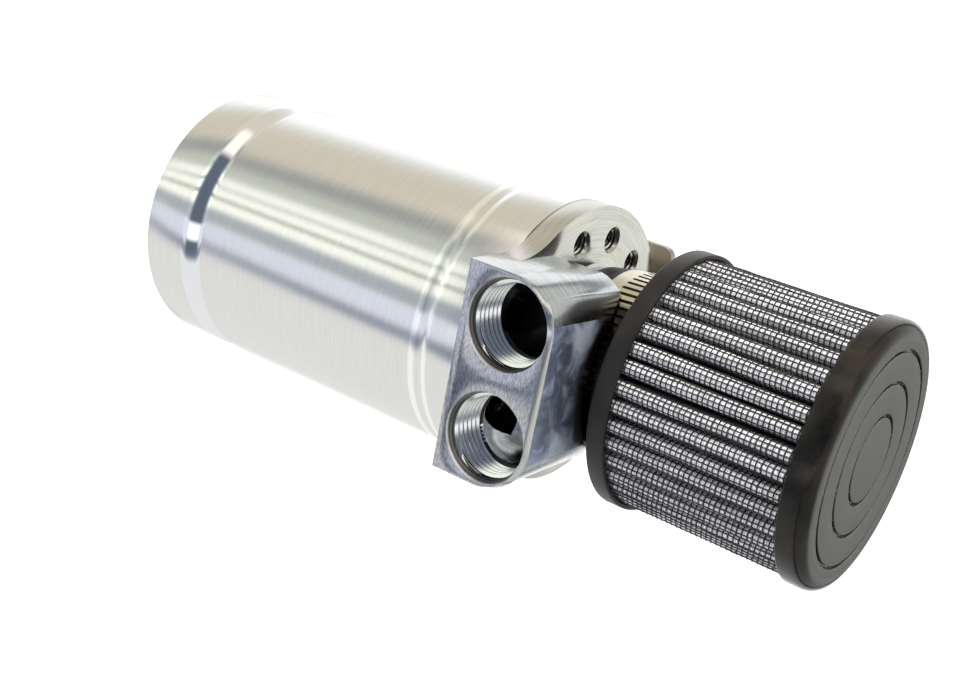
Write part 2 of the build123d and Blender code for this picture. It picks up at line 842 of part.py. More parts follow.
pieces = {
    "can_body": can_body,
    "base_plug": base_plug,
    "base_o_ring": base_o_ring,
    "drain_plug": drain_plug,
    "drain_washer": drain_washer,
    "head": head,
    "head_o_ring": head_o_ring,
    "mesh_pad": mesh_pad,
    "baffle_plate": baffle_plate,
    "baffle_spacers": baffle_spacers,
    "baffle_screws": baffle_screws,
    "bracket": bracket,
    "bracket_washers": bracket_washers,
    "bracket_screws": bracket_screws,
    "filter_base": filter_base,
    "pleat_pack": pleat_pack,
    "filter_cap": filter_cap,
    "clamp_band": clamp_band,
    "clamp_housing": clamp_housing,
    "clamp_screw": clamp_screw,
}
for piece_name, piece in pieces.items():
    piece.part.label = piece_name
    export_step(piece.part, f"parts/{piece_name}.step")
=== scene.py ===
# Oil catch can: a turned and milled aluminium can, a rubber and gauze breather filter, a stainless worm clamp.
import random
from math import atan2, ceil, cos, pi, radians, sin, tan, tau

import bmesh
import bpy
from mathutils import Matrix, Vector
from mathutils.geometry import tessellate_polygon


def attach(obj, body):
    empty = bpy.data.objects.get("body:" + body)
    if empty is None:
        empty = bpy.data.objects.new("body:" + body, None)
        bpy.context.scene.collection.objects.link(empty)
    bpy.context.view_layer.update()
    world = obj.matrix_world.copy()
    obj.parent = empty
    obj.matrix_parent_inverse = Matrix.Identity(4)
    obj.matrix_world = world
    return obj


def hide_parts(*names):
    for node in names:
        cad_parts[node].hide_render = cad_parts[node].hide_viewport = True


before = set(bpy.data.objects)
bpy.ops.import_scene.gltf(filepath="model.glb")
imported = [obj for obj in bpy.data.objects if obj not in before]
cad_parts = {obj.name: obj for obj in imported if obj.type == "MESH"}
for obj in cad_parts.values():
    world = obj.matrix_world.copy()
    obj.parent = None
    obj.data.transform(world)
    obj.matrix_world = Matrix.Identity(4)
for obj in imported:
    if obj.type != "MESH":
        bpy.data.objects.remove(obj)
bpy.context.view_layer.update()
mm = 0.001
print("frame loaded:", len(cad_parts), "nodes")


# Small tools
def colour(code):  # sRGB hex to the linear colour that a shader takes
    parts = [int(code[i:i + 2], 16) / 255 for i in (1, 3, 5)]
    return [p / 12.92 if p <= 0.04045 else ((p + 0.055) / 1.055) ** 2.4 for p in parts] + [1.0]


def addNode(tree, kind, settings=None, links=None):  # one node with its settings, and what feeds it: sockets or plain values
    node = tree.nodes.new(kind)
    for key, value in (settings or {}).items():
        if isinstance(key, str) and key not in node.inputs:
            setattr(node, key, value)
        else:
            node.inputs[key].default_value = value
    for key, source in (links or {}).items():
        if isinstance(source, bpy.types.NodeSocket):
            tree.links.new(source, node.inputs[key])
        else:
            node.inputs[key].default_value = source
    return node


def startMaterial(name, settings):
    material = bpy.data.materials.new(name)
    material.use_nodes = True
    shader = material.node_tree.nodes["Principled BSDF"]
    for key, value in settings.items():
        shader.inputs[key].default_value = value
    return material, material.node_tree, shader


def dressNode(name, material):
    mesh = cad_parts[name].data
    mesh.materials.clear()
    mesh.materials.append(material)


def closeMesh(mesh, sharp=30):  # welds the mesh, points it outwards, and keeps edges over so many degrees crisp
    work = bmesh.new()
    work.from_mesh(mesh)
    bmesh.ops.remove_doubles(work, verts=work.verts, dist=1e-6)
    bmesh.ops.recalc_face_normals(work, faces=work.faces)
    for face in work.faces:
        face.smooth = True
    for edge in work.edges:
        edge.smooth = len(edge.link_faces) != 2 or edge.calc_face_angle(0) < radians(sharp)
    work.to_mesh(mesh)
    work.free()
    return mesh


def meshOf(name, points, faces):
    mesh = bpy.data.meshes.new(name)
    mesh.from_pydata([[c * mm for c in point] for point in points], [], faces)
    return mesh


def placePiece(name, mesh, materials, body, nodes=()):
    mesh.materials.clear()
    for material in materials:
        mesh.materials.append(material)
    piece = bpy.data.objects.new(name, mesh)
    bpy.context.scene.collection.objects.link(piece)
    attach(piece, body)
    if nodes:
        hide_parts(*nodes)


def easedLoop(corners, steps=4):  # a closed profile whose corners (x, y, radius) are rounded
    loop = []
    for i, (x, y, radius) in enumerate(corners):
        here = Vector((x, y))
        if radius <= 0:
            loop.append((x, y))
            continue
        back = (Vector(corners[i - 1][:2]) - here).normalized()
        ahead = (Vector(corners[(i + 1) % len(corners)][:2]) - here).normalized()
        half = back.angle(ahead) / 2
        centre = here + (back + ahead).normalized() * (radius / sin(half))
        start = here + back * (radius / tan(half)) - centre
        end = here + ahead * (radius / tan(half)) - centre
        turnFrom = atan2(start.y, start.x)
        turn = (atan2(end.y, end.x) - turnFrom + pi) % tau - pi
        for step in range(steps + 1):
            angle = turnFrom + turn * step / steps
            loop.append((centre.x + radius * cos(angle), centre.y + radius * sin(angle)))
    return loop


def turnedMesh(name, profile, segments):  # a closed profile (radius, height) spun round the can's axis
    points, rings = [], []
    for radius, height in profile:
        if radius < 1e-6:
            rings.append([len(points)] * segments)
            points.append((0, 0, height))
        else:
            rings.append([len(points) + k for k in range(segments)])
            points += [(radius * cos(tau * k / segments), radius * sin(tau * k / segments), height) for k in range(segments)]
    faces = []
    for i, ring in enumerate(rings):
        following = rings[(i + 1) % len(rings)]
        for k in range(segments):
            corners = [ring[k], ring[(k + 1) % segments], following[(k + 1) % segments], following[k]]
            face = [c for n, c in enumerate(corners) if c not in corners[:n]]
            if len(face) > 2:
                faces.append(face)
    return closeMesh(meshOf(name, points, faces))


# Geometry node tools
def startTree(name, inputs):
    tree = bpy.data.node_groups.new(name, "GeometryNodeTree")
    tree.interface.new_socket("Geometry", in_out="INPUT", socket_type="NodeSocketGeometry")
    for label, (kind, value) in inputs.items():
        tree.interface.new_socket(label, in_out="INPUT", socket_type=kind).default_value = value
    tree.interface.new_socket("Geometry", in_out="OUTPUT", socket_type="NodeSocketGeometry")
    return tree, tree.nodes.new("NodeGroupInput").outputs


def endTree(tree, socket, material):  # real geometry and its material at the end of the tree
    real = addNode(tree, "GeometryNodeRealizeInstances", links={0: socket})
    dressed = addNode(tree, "GeometryNodeSetMaterial", {"Material": material}, {0: real.outputs[0]})
    finish = tree.nodes.new("NodeGroupOutput")
    tree.links.new(dressed.outputs[0], finish.inputs[0])


def growMesh(name, seedMesh, tree, values):  # the tree's result on a seed mesh, as a plain mesh
    seed = bpy.data.objects.new(name + "Seed", seedMesh)
    bpy.context.scene.collection.objects.link(seed)
    modifier = seed.modifiers.new("growth", "NODES")
    modifier.node_group = tree
    for item in tree.interface.items_tree:
        if item.in_out == "INPUT" and item.name in values:
            modifier[item.identifier] = values[item.name]
    bpy.context.view_layer.update()
    grown = bpy.data.meshes.new_from_object(seed.evaluated_get(bpy.context.evaluated_depsgraph_get()))
    seed.modifiers.remove(modifier)
    bpy.data.objects.remove(seed)
    return grown


# Camera: lens and place worked out from the photograph's circles and edges
view = {
    "lens": 50.985,
    "sensor": 36.0,
    "place": (-111.6, -323.2, 313.0),
    "forward": (0.3038, 0.8006, -0.5165),
    "right": (-0.1850, 0.5814, 0.7923),
}
forward = Vector(view["forward"]).normalized()
right = (Vector(view["right"]) - forward * forward.dot(Vector(view["right"]))).normalized()
up = right.cross(forward)
lens = bpy.data.cameras.new("photoCamera")
lens.lens = view["lens"]
lens.sensor_width = view["sensor"]
lens.clip_start = 10 * mm
camera = bpy.data.objects.new("photoCamera", lens)
turned = Matrix((right, up, -forward)).transposed().to_4x4()
camera.matrix_world = Matrix.Translation(Vector(view["place"]) * mm) @ turned
bpy.context.scene.collection.objects.link(camera)
bpy.context.scene.camera = camera
bpy.context.scene.view_settings.view_transform = "Standard"  # a white ground stays white, as in the photograph


# Tools for patterns
def compassOf(tree, axes):  # the direction from the upright axis, in degrees
    turn = addNode(tree, "ShaderNodeMath", {"operation": "ARCTAN2"}, {0: axes["Y"], 1: axes["X"]}).outputs[0]
    return addNode(tree, "ShaderNodeMath", {"operation": "DEGREES"}, {0: turn}).outputs[0]


def reachOf(tree, across, up):  # a flat point, and how far it is from 0
    flat = addNode(tree, "ShaderNodeCombineXYZ", links={0: across, 1: up}).outputs[0]
    return flat, addNode(tree, "ShaderNodeVectorMath", {"operation": "LENGTH"}, {0: flat}).outputs["Value"]


def band(tree, value, middle, half, soft, compass=False):  # 1 within half of the middle, fading over soft beside it
    gap = addNode(tree, "ShaderNodeMath", {"operation": "SUBTRACT", 1: middle}, {0: value}).outputs[0]
    if compass:  # the short way round
        gap = addNode(tree, "ShaderNodeMath", {"operation": "WRAP", 1: 180.0, 2: -180.0}, {0: gap}).outputs[0]
    away = addNode(tree, "ShaderNodeMath", {"operation": "ABSOLUTE"}, {0: gap}).outputs[0]
    edges = {"interpolation_type": "SMOOTHSTEP", "From Min": half + soft, "From Max": half}
    return addNode(tree, "ShaderNodeMapRange", edges, {0: away}).outputs[0]


def between(tree, value, foot, head):  # 1 between foot and head, each a pair of heights: where it is 0 and where it is 1
    ends = []
    for none, full in (foot, head):
        edges = {"interpolation_type": "SMOOTHSTEP", "From Min": none, "From Max": full}
        ends.append(addNode(tree, "ShaderNodeMapRange", edges, {0: value}).outputs[0])
    return addNode(tree, "ShaderNodeMath", {"operation": "MULTIPLY"}, {0: ends[0], 1: ends[1]}).outputs[0]


# Studio: pale floor, and soft panels standing round the can
studio = {
    "floor": "#f4f4f2",
    "glow": 0.62,
    "ground": "#f6f6f5",
    "strength": 1.3,
    "fill": 0.34,
    # soft panels, each over those before it: compass direction, half width, fading edge, tint
    "walls": "#dadad9",
    "panels": [
        (92, 36, 16, "#ffffff"), (-187, 14, 22, "#c9c3b4"), (-128, 22, 8, "#c2c6bb"), (-97.5, 5.5, 5, "#a9b0b6"),
        (-80, 4, 7, "#d4d8e7"), (-65, 1.5, 7, "#8e94a6"), (-120.2, 12.2, 8, "#fdfff4"), (-126.3, 0.7, 2.0, "#c4cabd"),
        (-115.3, 0.8, 2.2, "#b0b6aa"), (-159, 1.5, 13, "#969896"),
    ],
    "roof": "#c4c4c1",
    "roofPanels": [(-165, 30, 20, "#b4b2a8"), (44, 6, 22, "#a8aaa6"), (86, 14, 20, "#d8d8d2")],
    "roofRise": (-0.05, 0.35),
    # a dark gap low on the walls
    "gap": "#464d59",
    "gapFoot": (0.02, 0.08),
    "gapHead": (0.22, 0.14),
    # a dark opening round lens height, with a warm lamp at one side of it and a white one at the other
    "mouth": (-114, 46, 14, "#59626f"),
    "mouthFoot": (-0.5, -0.2),
    "mouthHead": (0.92, 0.82),
    "lamps": [(-163, 9, 9, "#fff4e8"), (-82, 4.5, 5, "#ffffff")],
    # area lamps, in metres and watts: place, aim, width, length, power, tint
    "keyPanel": ((-0.85, -0.15, 0.6), (0, 0, 0.15), 0.6, 0.7, 22, "#fffaf0"),
    "sidePanel": ((0.3, -0.9, 0.35), (0, 0, 0.15), 0.4, 0.4, 3, "#eef2ff"),
}
world = bpy.data.worlds.new("studio")
bpy.context.scene.world = world
world.use_nodes = True
air = world.node_tree
air.nodes.clear()
direction = addNode(air, "ShaderNodeTexCoord").outputs["Generated"]
axes = addNode(air, "ShaderNodeSeparateXYZ", links={0: direction}).outputs
degrees = compassOf(air, axes)


def hangPanels(tone, panels, level=None):  # panels over what is behind them, at every height or at one level
    for middle, half, soft, tint in panels:
        share = band(air, degrees, middle, half, soft, compass=True)
        if level:
            share = addNode(air, "ShaderNodeMath", {"operation": "MULTIPLY"}, {0: share, 1: level}).outputs[0]
        tone = addNode(air, "ShaderNodeMix", {"data_type": "RGBA"}, {0: share, 6: tone, 7: colour(tint)}).outputs[2]
    return tone


walls = hangPanels(colour(studio["walls"]), studio["panels"])
roof = hangPanels(colour(studio["roof"]), studio["roofPanels"])
edges = {"interpolation_type": "SMOOTHSTEP", "From Min": studio["roofRise"][0], "From Max": studio["roofRise"][1]}
high = addNode(air, "ShaderNodeMapRange", edges, {0: axes["Z"]}).outputs[0]
tent = addNode(air, "ShaderNodeMix", {"data_type": "RGBA"}, {0: high, 6: walls, 7: roof}).outputs[2]
low = between(air, axes["Z"], studio["gapFoot"], studio["gapHead"])
tent = addNode(air, "ShaderNodeMix", {"data_type": "RGBA"}, {0: low, 6: tent, 7: colour(studio["gap"])}).outputs[2]
tall = between(air, axes["Z"], studio["mouthFoot"], studio["mouthHead"])
tent = hangPanels(tent, [studio["mouth"], *studio["lamps"]], tall)
path = addNode(air, "ShaderNodeLightPath").outputs
fillTone = [studio["fill"]] * 3 + [1.0]  # rough surfaces get an even fill
fill = addNode(air, "ShaderNodeMix", {"data_type": "RGBA"}, {0: path["Is Diffuse Ray"], 6: tent, 7: fillTone}).outputs[2]
ground = {0: path["Is Camera Ray"], 6: fill, 7: colour(studio["ground"])}
seen = addNode(air, "ShaderNodeMix", {"data_type": "RGBA"}, ground).outputs[2]
sky = addNode(air, "ShaderNodeBackground", {"Strength": studio["strength"]}, {"Color": seen})
addNode(air, "ShaderNodeOutputWorld", links={0: sky.outputs[0]})

# Matt painted floor, lit a little from within so that the can's shadow stays pale
floorPaint = startMaterial("paintedStudioFloor", {
    "Base Color": colour(studio["floor"]), "Roughness": 0.9,
    "Emission Color": (1, 1, 1, 1), "Emission Strength": studio["glow"],
})[0]
reach, below = 4000, -0.05  # millimetres
floorCorners = [(x * reach, y * reach, below) for x, y in ((-1, -1), (1, -1), (1, 1), (-1, 1))]
floorMesh = meshOf("floor", floorCorners, [(0, 1, 2, 3)])
floorMesh.materials.append(floorPaint)
floor = bpy.data.objects.new("floor", floorMesh)
bpy.context.scene.collection.objects.link(floor)
floor.visible_glossy = False  # the metal mirrors the panels, as in the light tent

for name in ("keyPanel", "sidePanel"):
    place, aim, width, length, power, tint = studio[name]
    lamp = bpy.data.lights.new(name, "AREA")
    lamp.shape, lamp.size, lamp.size_y, lamp.energy, lamp.color = "RECTANGLE", width, length, power, colour(tint)[:3]
    holder = bpy.data.objects.new(name, lamp)
    turned = (Vector(aim) - Vector(place)).to_track_quat("-Z", "Y").to_matrix().to_4x4()
    holder.matrix_world = Matrix.Translation(place) @ turned
    holder.visible_glossy = False
    bpy.context.scene.collection.objects.link(holder)
print("camera and studio set")


# Tools for finishes
def feed(shader, name, socket):  # leads a socket to one of the shader's own
    shader.id_data.links.new(socket, shader.inputs[name])


def vary(shader, share, ends):  # shader sockets that run from a first value to a second; None is what is there already
    tree = shader.id_data
    for name, pair in ends.items():
        entry = shader.inputs[name]
        kind, first, second, out = ("RGBA", 6, 7, 2) if entry.type == "RGBA" else ("FLOAT", 2, 3, 0)
        values = [colour(value) if isinstance(value, str) else value for value in pair]
        if values[0] is None:
            values[0] = entry.links[0].from_socket
        mix = addNode(tree, "ShaderNodeMix", {"data_type": kind}, {0: share, first: values[0], second: values[1]})
        feed(shader, name, mix.outputs[out])


def objectAxes(tree):  # object coordinates in millimetres
    place = addNode(tree, "ShaderNodeTexCoord").outputs["Object"]
    scaled = addNode(tree, "ShaderNodeVectorMath", {"operation": "SCALE", "Scale": 1 / mm}, {0: place}).outputs[0]
    return scaled, addNode(tree, "ShaderNodeSeparateXYZ", links={0: scaled}).outputs


def turnedMetal(name, anisotropy, pitch, length):  # marks run round the axis and draw reflections out across them
    material, tree, shader = startMaterial(name, {"Metallic": 1.0, "Anisotropic": anisotropy, "Anisotropic Rotation": 0.25})
    axes = objectAxes(tree)[1]
    flat, radius = reachOf(tree, axes["X"], axes["Y"])
    way = addNode(tree, "ShaderNodeVectorMath", {"operation": "NORMALIZE"}, {0: flat}).outputs[0]
    canSide = 40.0  # the radius at which a mark has that length
    circled = addNode(tree, "ShaderNodeVectorMath", {"operation": "SCALE", "Scale": canSide / length}, {0: way}).outputs[0]
    bent = addNode(tree, "ShaderNodeSeparateXYZ", links={0: circled}).outputs
    rise = addNode(tree, "ShaderNodeMath", {"operation": "DIVIDE", 1: pitch}, {0: axes["Z"]}).outputs[0]
    out = addNode(tree, "ShaderNodeMath", {"operation": "DIVIDE", 1: pitch}, {0: radius}).outputs[0]
    spread = addNode(tree, "ShaderNodeCombineXYZ", links={0: bent["X"], 1: bent["Y"], 2: rise}).outputs[0]
    grain = {"noise_dimensions": "4D", "Scale": 1.0, "Detail": 3.0, "Roughness": 0.6}
    marks = addNode(tree, "ShaderNodeTexNoise", grain, {"Vector": spread, "W": out}).outputs[0]
    feed(shader, "Tangent", addNode(tree, "ShaderNodeTangent", {"direction_type": "RADIAL", "axis": "Z"}).outputs[0])
    return material, tree, shader, marks, axes


def milledMetal(name, stretch, roughness, depth, tones=("#c9ccce", "#e4e6e6"), cloudy=0.0):  # marks drawn out one way
    material, tree, shader = startMaterial(name, {"Metallic": 1.0})
    place = objectAxes(tree)[0]
    long = addNode(tree, "ShaderNodeMapping", {"Scale": stretch}, {"Vector": place}).outputs[0]
    grain = {"Scale": 1.0, "Detail": 4.0, "Roughness": 0.65}
    marks = addNode(tree, "ShaderNodeTexNoise", grain, {"Vector": long}).outputs[0]
    clouds = {"Scale": 0.14, "Detail": 5.0, "Roughness": 0.6}  # about 7 mm wide
    cloud = addNode(tree, "ShaderNodeTexNoise", clouds, {"Vector": place}).outputs[0]
    edges = {"interpolation_type": "SMOOTHSTEP", "From Min": 0.5, "From Max": 0.66}
    patch = addNode(tree, "ShaderNodeMapRange", edges, {0: cloud}).outputs[0]
    tone = addNode(tree, "ShaderNodeMapRange", {"From Min": 0.3, "From Max": 0.7}, {0: marks}).outputs[0]
    vary(shader, marks, {"Roughness": (roughness - 0.06, roughness + 0.06)})
    vary(shader, patch, {"Roughness": (None, roughness + cloudy)})
    vary(shader, tone, {"Base Color": tones})
    relief = {"Strength": 0.5, "Distance": depth * mm}
    feed(shader, "Normal", addNode(tree, "ShaderNodeBump", relief, {"Height": marks}).outputs[0])
    return material


def mouldedRubber(name, dark, light, roughness, grain, depth):  # nitrile rubber: near black, dusty sheen, fine grain
    material, tree, shader = startMaterial(name, {"IOR": 1.52, "Specular IOR Level": 0.34})
    place = objectAxes(tree)[0]
    skin = {"Scale": 1.0 / grain, "Detail": 4.0, "Roughness": 0.65}
    fine = addNode(tree, "ShaderNodeTexNoise", skin, {"Vector": place}).outputs[0]
    clouds = {"Scale": 0.09, "Detail": 5.0, "Roughness": 0.6}  # dust lies in patches about 11 mm wide
    dust = addNode(tree, "ShaderNodeTexNoise", clouds, {"Vector": place}).outputs[0]
    patch = addNode(tree, "ShaderNodeMapRange", {"From Min": 0.38, "From Max": 0.68}, {0: dust}).outputs[0]
    vary(shader, patch, {"Base Color": (dark, light)})
    vary(shader, fine, {"Roughness": (roughness - 0.08, roughness + 0.1)})
    relief = {"Strength": 0.6, "Distance": depth * mm}
    feed(shader, "Normal", addNode(tree, "ShaderNodeBump", relief, {"Height": fine}).outputs[0])
    return material, tree, shader


# Metals of the billet: fly cut with duller clouds, milled in long lines, satin, and bored in fine rings
faceMetal = milledMetal("flyCutAluminium", (0.7, 0.7, 3.0), 0.13, 0.012, ("#85878d", "#d6d8dc"), 0.1)
sideMetal = milledMetal("milledAluminium", (0.12, 3.6, 0.12), 0.22, 0.008, ("#bcc0c1", "#e2e5e5"), 0.06)
rimMetal = milledMetal("satinAluminium", (0.2, 0.2, 3.0), 0.24, 0.006, ("#bebcb5", "#d2d0c9"))
boreMetal = milledMetal("boredAluminium", (1.2, 3.0, 1.2), 0.2, 0.01, ("#e2e4e4", "#f6f7f7"))
# Drillings: dull, with a dark colour that is painted shade deep in the holes
drillingShadeMetal = milledMetal("shadedDrilledAluminium", (1.0, 1.0, 3.0), 0.4, 0.02, ("#3c3c3b", "#565654"))
# Metals of the small parts: sawn and matt, warm grey sheet, cool zinc, dull knitted wire, soft matt washers
plugMetal = milledMetal("sawnAluminium", (1.5, 1.5, 1.5), 0.3, 0.01)
bracketMetal = milledMetal("rolledSheet", (0.5, 2.0, 0.1), 0.36, 0.008, ("#b0a999", "#c2bbac"))
zincMetal = milledMetal("zincPlatedSteel", (1.6, 1.6, 1.6), 0.28, 0.006, ("#b9bcc0", "#cdd0d2"))
knitMetal = milledMetal("knittedSteelWire", (2.2, 2.2, 1.4), 0.35, 0.25, ("#6c6c6a", "#b0b0ac"))
washerMetal = milledMetal("softAluminium", (1.0, 1.0, 1.0), 0.42, 0.004, ("#c0c1c2", "#cfd0d0"))
sealRubber = mouldedRubber("sealRubber", "#161514", "#1d1c1b", 0.4, 0.6, 0.01)[0]
print("shared materials made")

# Can body: a tube with two rolled beads, each with a long flank that faces up and a short one that faces down
can = {
    "radius": 40.0, "wall": 2.0, "height": 125.3, "seam": 0.42, "edge": 0.35, "lip": 0.2,
    "beads": ((15.4, 21.9, 23.6, 1.6), (105.0, 108.4, 110.4, 0.24)),  # foot, deepest place, head, depth
    "segments": 288, "flankSteps": 12,
    "burnished": (18.8, 3.2, 1.0), "bright": ((105.6, 0.5, 0.9), (109.9, 0.4, 0.8)),  # middle, half width, fading edge
}

# Turned aluminium: fine rings from the lathe tool smear reflections into streaks along the can; the foot bead is
# burnished, and painted highlight lines, a lighter colour, edge the head bead. The rings are drawn coarser than real
# ones, 0.3 mm, so that they show
bodyMetal, tree, shader, marks, axes = turnedMetal("turnedAluminium", 1.0, 0.3, 9.0)
burnished = band(tree, axes["Z"], *can["burnished"])
lines = {index: band(tree, axes["Z"], *line) for index, line in enumerate(can["bright"])}
headBeadHighlights = addNode(tree, "ShaderNodeMath", {"operation": "MAXIMUM"}, lines).outputs[0]
drawn = addNode(tree, "ShaderNodeMapRange", {"From Min": 0.34, "From Max": 0.66}, {0: marks}).outputs[0]
vary(shader, marks, {"Roughness": (0.11, 0.17)})
vary(shader, drawn, {"Base Color": ("#e1e1de", "#e8e8e6")})
# painted highlight: two lines of lighter colour along the edges of the head bead
vary(shader, headBeadHighlights, {"Base Color": (None, "#fdfefa")})
vary(shader, burnished, {"Roughness": (None, 0.07), "Base Color": (None, "#eceef0")})
height = addNode(tree, "ShaderNodeMix", {"data_type": "FLOAT"}, {0: burnished, 2: marks, 3: 0.5}).outputs[0]
relief = {"Strength": 0.8, "Distance": 0.03 * mm}
feed(shader, "Normal", addNode(tree, "ShaderNodeBump", relief, {"Height": height}).outputs[0])


def beadSide(radius, upwards):  # the tube's side from foot to top, or back, with its beads rolled in
    side = []
    steps = can["flankSteps"]
    for low, middle, high, depth in can["beads"]:
        for step in range(steps + 1):
            share = step / steps
            side.append((radius - depth * (0.5 - 0.5 * cos(pi * share)), low + (middle - low) * share, 0))
        for step in range(1, steps + 1):
            share = step / steps
            side.append((radius - depth + depth * (0.5 - 0.5 * cos(pi * share)), middle + (high - middle) * share, 0))
    return side if upwards else side[::-1]


outer, inner, top = can["radius"], can["radius"] - can["wall"], can["height"] - can["seam"]
profile = [(inner, 0, can["lip"]), (outer, 0, can["edge"])] + beadSide(outer, True)
profile += [(outer, top, can["lip"]), (inner, top, can["lip"])] + beadSide(inner, False)
canMesh = turnedMesh("canShell", easedLoop(profile, steps=3), can["segments"])
placePiece("canShell", canMesh, [bodyMetal], "can", ["can_body"])
print("can shell made")

# Head: the billet with its block, neck and holes, edges broken
head = {
    "edge": 0.22, "edgeSteps": 2, "edgeAngle": 35, "flat": 1.0, "discTop": 131.8, "blockTop": 152.3, "blockHalf": 28.1,
    "endY": -25.0,
    "portFace": -48.8, "portX": 15.0, "portZ": 139.2, "portRadius": 12.2, "seat": 2.5,
    "ballY": -34.9, "ballRadius": 10.2, "reliefInner": 26.5, "corner": (19.8, -21.0, 8.3),
}
# where one finish of the head gives way to the next
zones = {"rimFoot": 125.5, "portEnd": -18.0, "blockEnd": -5.0, "sideDeep": 18.0, "holesReach": 34.5, "holesTop": 0.9}

# Faced aluminium: the head's disc, with turning rings seen face on
discMetal, tree, shader, marks, axes = turnedMetal("facedAluminium", 0.6, 0.5, 14.0)
drawn = addNode(tree, "ShaderNodeMapRange", {"From Min": 0.34, "From Max": 0.66}, {0: marks}).outputs[0]
vary(shader, marks, {"Roughness": (0.1, 0.2)})
vary(shader, drawn, {"Base Color": ("#cfd0ca", "#eaeae5")})
relief = {"Strength": 0.6, "Distance": 0.016 * mm}
feed(shader, "Normal", addNode(tree, "ShaderNodeBump", relief, {"Height": marks}).outputs[0])

# Countersunk aluminium: bright, with fine rings round each port
coneMetal, tree, shader = startMaterial("countersunkAluminium", {"Metallic": 1.0, "Roughness": 0.36})
axes = objectAxes(tree)[1]
across = addNode(tree, "ShaderNodeMath", {"operation": "ABSOLUTE"}, {0: axes["X"]}).outputs[0]
aside = addNode(tree, "ShaderNodeMath", {"operation": "SUBTRACT", 1: head["portX"]}, {0: across}).outputs[0]
rise = addNode(tree, "ShaderNodeMath", {"operation": "SUBTRACT", 1: head["portZ"]}, {0: axes["Z"]}).outputs[0]
out = reachOf(tree, aside, rise)[1]
rings = addNode(tree, "ShaderNodeTexNoise", {"noise_dimensions": "1D", "Scale": 3.6, "Detail": 2.0}, {"W": out}).outputs[0]
ringed = addNode(tree, "ShaderNodeMapRange", {"From Min": 0.38, "From Max": 0.6}, {0: rings}).outputs[0]
vary(shader, ringed, {"Base Color": ("#9b9d9e", "#ffffff")})
relief = {"Strength": 0.8, "Distance": 0.12 * mm}
feed(shader, "Normal", addNode(tree, "ShaderNodeBump", relief, {"Height": rings}).outputs[0])

# Sanded aluminium, the block's flat top: slate, hazed white where it was rubbed, with painted shade close under the
# filter, dark and smooth
rubsAndShade = {
    "spots": ((-13.2, -32.1, 9.0), (17.0, -33.0, 10.0)),  # x, y, reach
    "slate": ("#919fbf", "#c4d3f0"),
    "haze": "#dfe9fb",
    "shade": "#14161b",
    "shadeEdge": (31.5, 27.5),
}
topMetal, tree, shader = startMaterial("sandedAluminium", {"Metallic": 1.0})
place, axes = objectAxes(tree)
clouds = {"Scale": 0.2, "Detail": 6.0, "Roughness": 0.6, "Distortion": 0.6}  # about 5 mm wide
cloud = addNode(tree, "ShaderNodeTexNoise", clouds, {"Vector": place}).outputs[0]
edges = {"interpolation_type": "SMOOTHSTEP", "From Min": 0.42, "From Max": 0.8, "To Max": 0.8}
patch = addNode(tree, "ShaderNodeMapRange", edges, {0: cloud}).outputs[0]
for x, y, reach in rubsAndShade["spots"]:
    spotMiddle = {"operation": "DISTANCE", 1: (x, y, head["blockTop"])}
    apart = addNode(tree, "ShaderNodeVectorMath", spotMiddle, {0: place}).outputs["Value"]
    edges = {"interpolation_type": "SMOOTHSTEP", "From Min": reach, "From Max": 1.0, "To Max": 0.5}
    spot = addNode(tree, "ShaderNodeMapRange", edges, {0: apart}).outputs[0]
    cloudy = addNode(tree, "ShaderNodeMath", {"operation": "ADD"}, {0: cloud, 1: spot}).outputs[0]
    edges = {"interpolation_type": "SMOOTHSTEP", "From Min": 0.46, "From Max": 1.0}
    rubbed = addNode(tree, "ShaderNodeMapRange", edges, {0: cloudy}).outputs[0]
    patch = addNode(tree, "ShaderNodeMath", {"operation": "MAXIMUM"}, {0: patch, 1: rubbed}).outputs[0]
out = reachOf(tree, axes["X"], axes["Y"])[1]
edges = {"interpolation_type": "SMOOTHSTEP", "From Min": rubsAndShade["shadeEdge"][0], "From Max": rubsAndShade["shadeEdge"][1]}
shadeUnderFilter = addNode(tree, "ShaderNodeMapRange", edges, {0: out}).outputs[0]
vary(shader, cloud, {"Base Color": rubsAndShade["slate"]})
# the haze scatters a little light
vary(shader, patch, {"Base Color": (None, rubsAndShade["haze"]), "Roughness": (0.5, 0.72), "Metallic": (0.985, 0.86)})
# painted shade: the top's colour turns dark close under the filter
vary(shader, shadeUnderFilter, {"Base Color": (None, rubsAndShade["shade"]), "Roughness": (None, 0.12), "Metallic": (None, 1.0)})
relief = {"Strength": 0.4, "Distance": 0.01 * mm}
feed(shader, "Normal", addNode(tree, "ShaderNodeBump", relief, {"Height": cloud}).outputs[0])

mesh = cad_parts["head"].data.copy()
work = bmesh.new()
work.from_mesh(mesh)
bmesh.ops.remove_doubles(work, verts=work.verts, dist=1e-6)
bmesh.ops.dissolve_limit(work, angle_limit=radians(head["flat"]), verts=work.verts, edges=work.edges)
cornerX, cornerY, cornerRadius = head["corner"]
for vertex in work.verts:  # the block's rear corners, rounded over towards the clamp
    x, y, z = vertex.co / mm
    ahead = Vector((abs(x) - cornerX, y - cornerY))
    pastRelief = Vector((x, y)).length > head["reliefInner"]
    inEnd = Vector((x, y - head["endY"])).length < head["blockHalf"] + 0.2
    if z > head["discTop"] - 0.2 and pastRelief and inEnd and ahead.y > 0 and ahead.length > cornerRadius:
        ahead *= cornerRadius / ahead.length
        vertex.co.x = (abs(cornerX + ahead.x) * (1 if x > 0 else -1)) * mm
        vertex.co.y = (cornerY + ahead.y) * mm
work.to_mesh(mesh)
work.free()
blank = bpy.data.objects.new("headBlank", mesh)
bpy.context.scene.collection.objects.link(blank)
bevel = blank.modifiers.new("edges", "BEVEL")
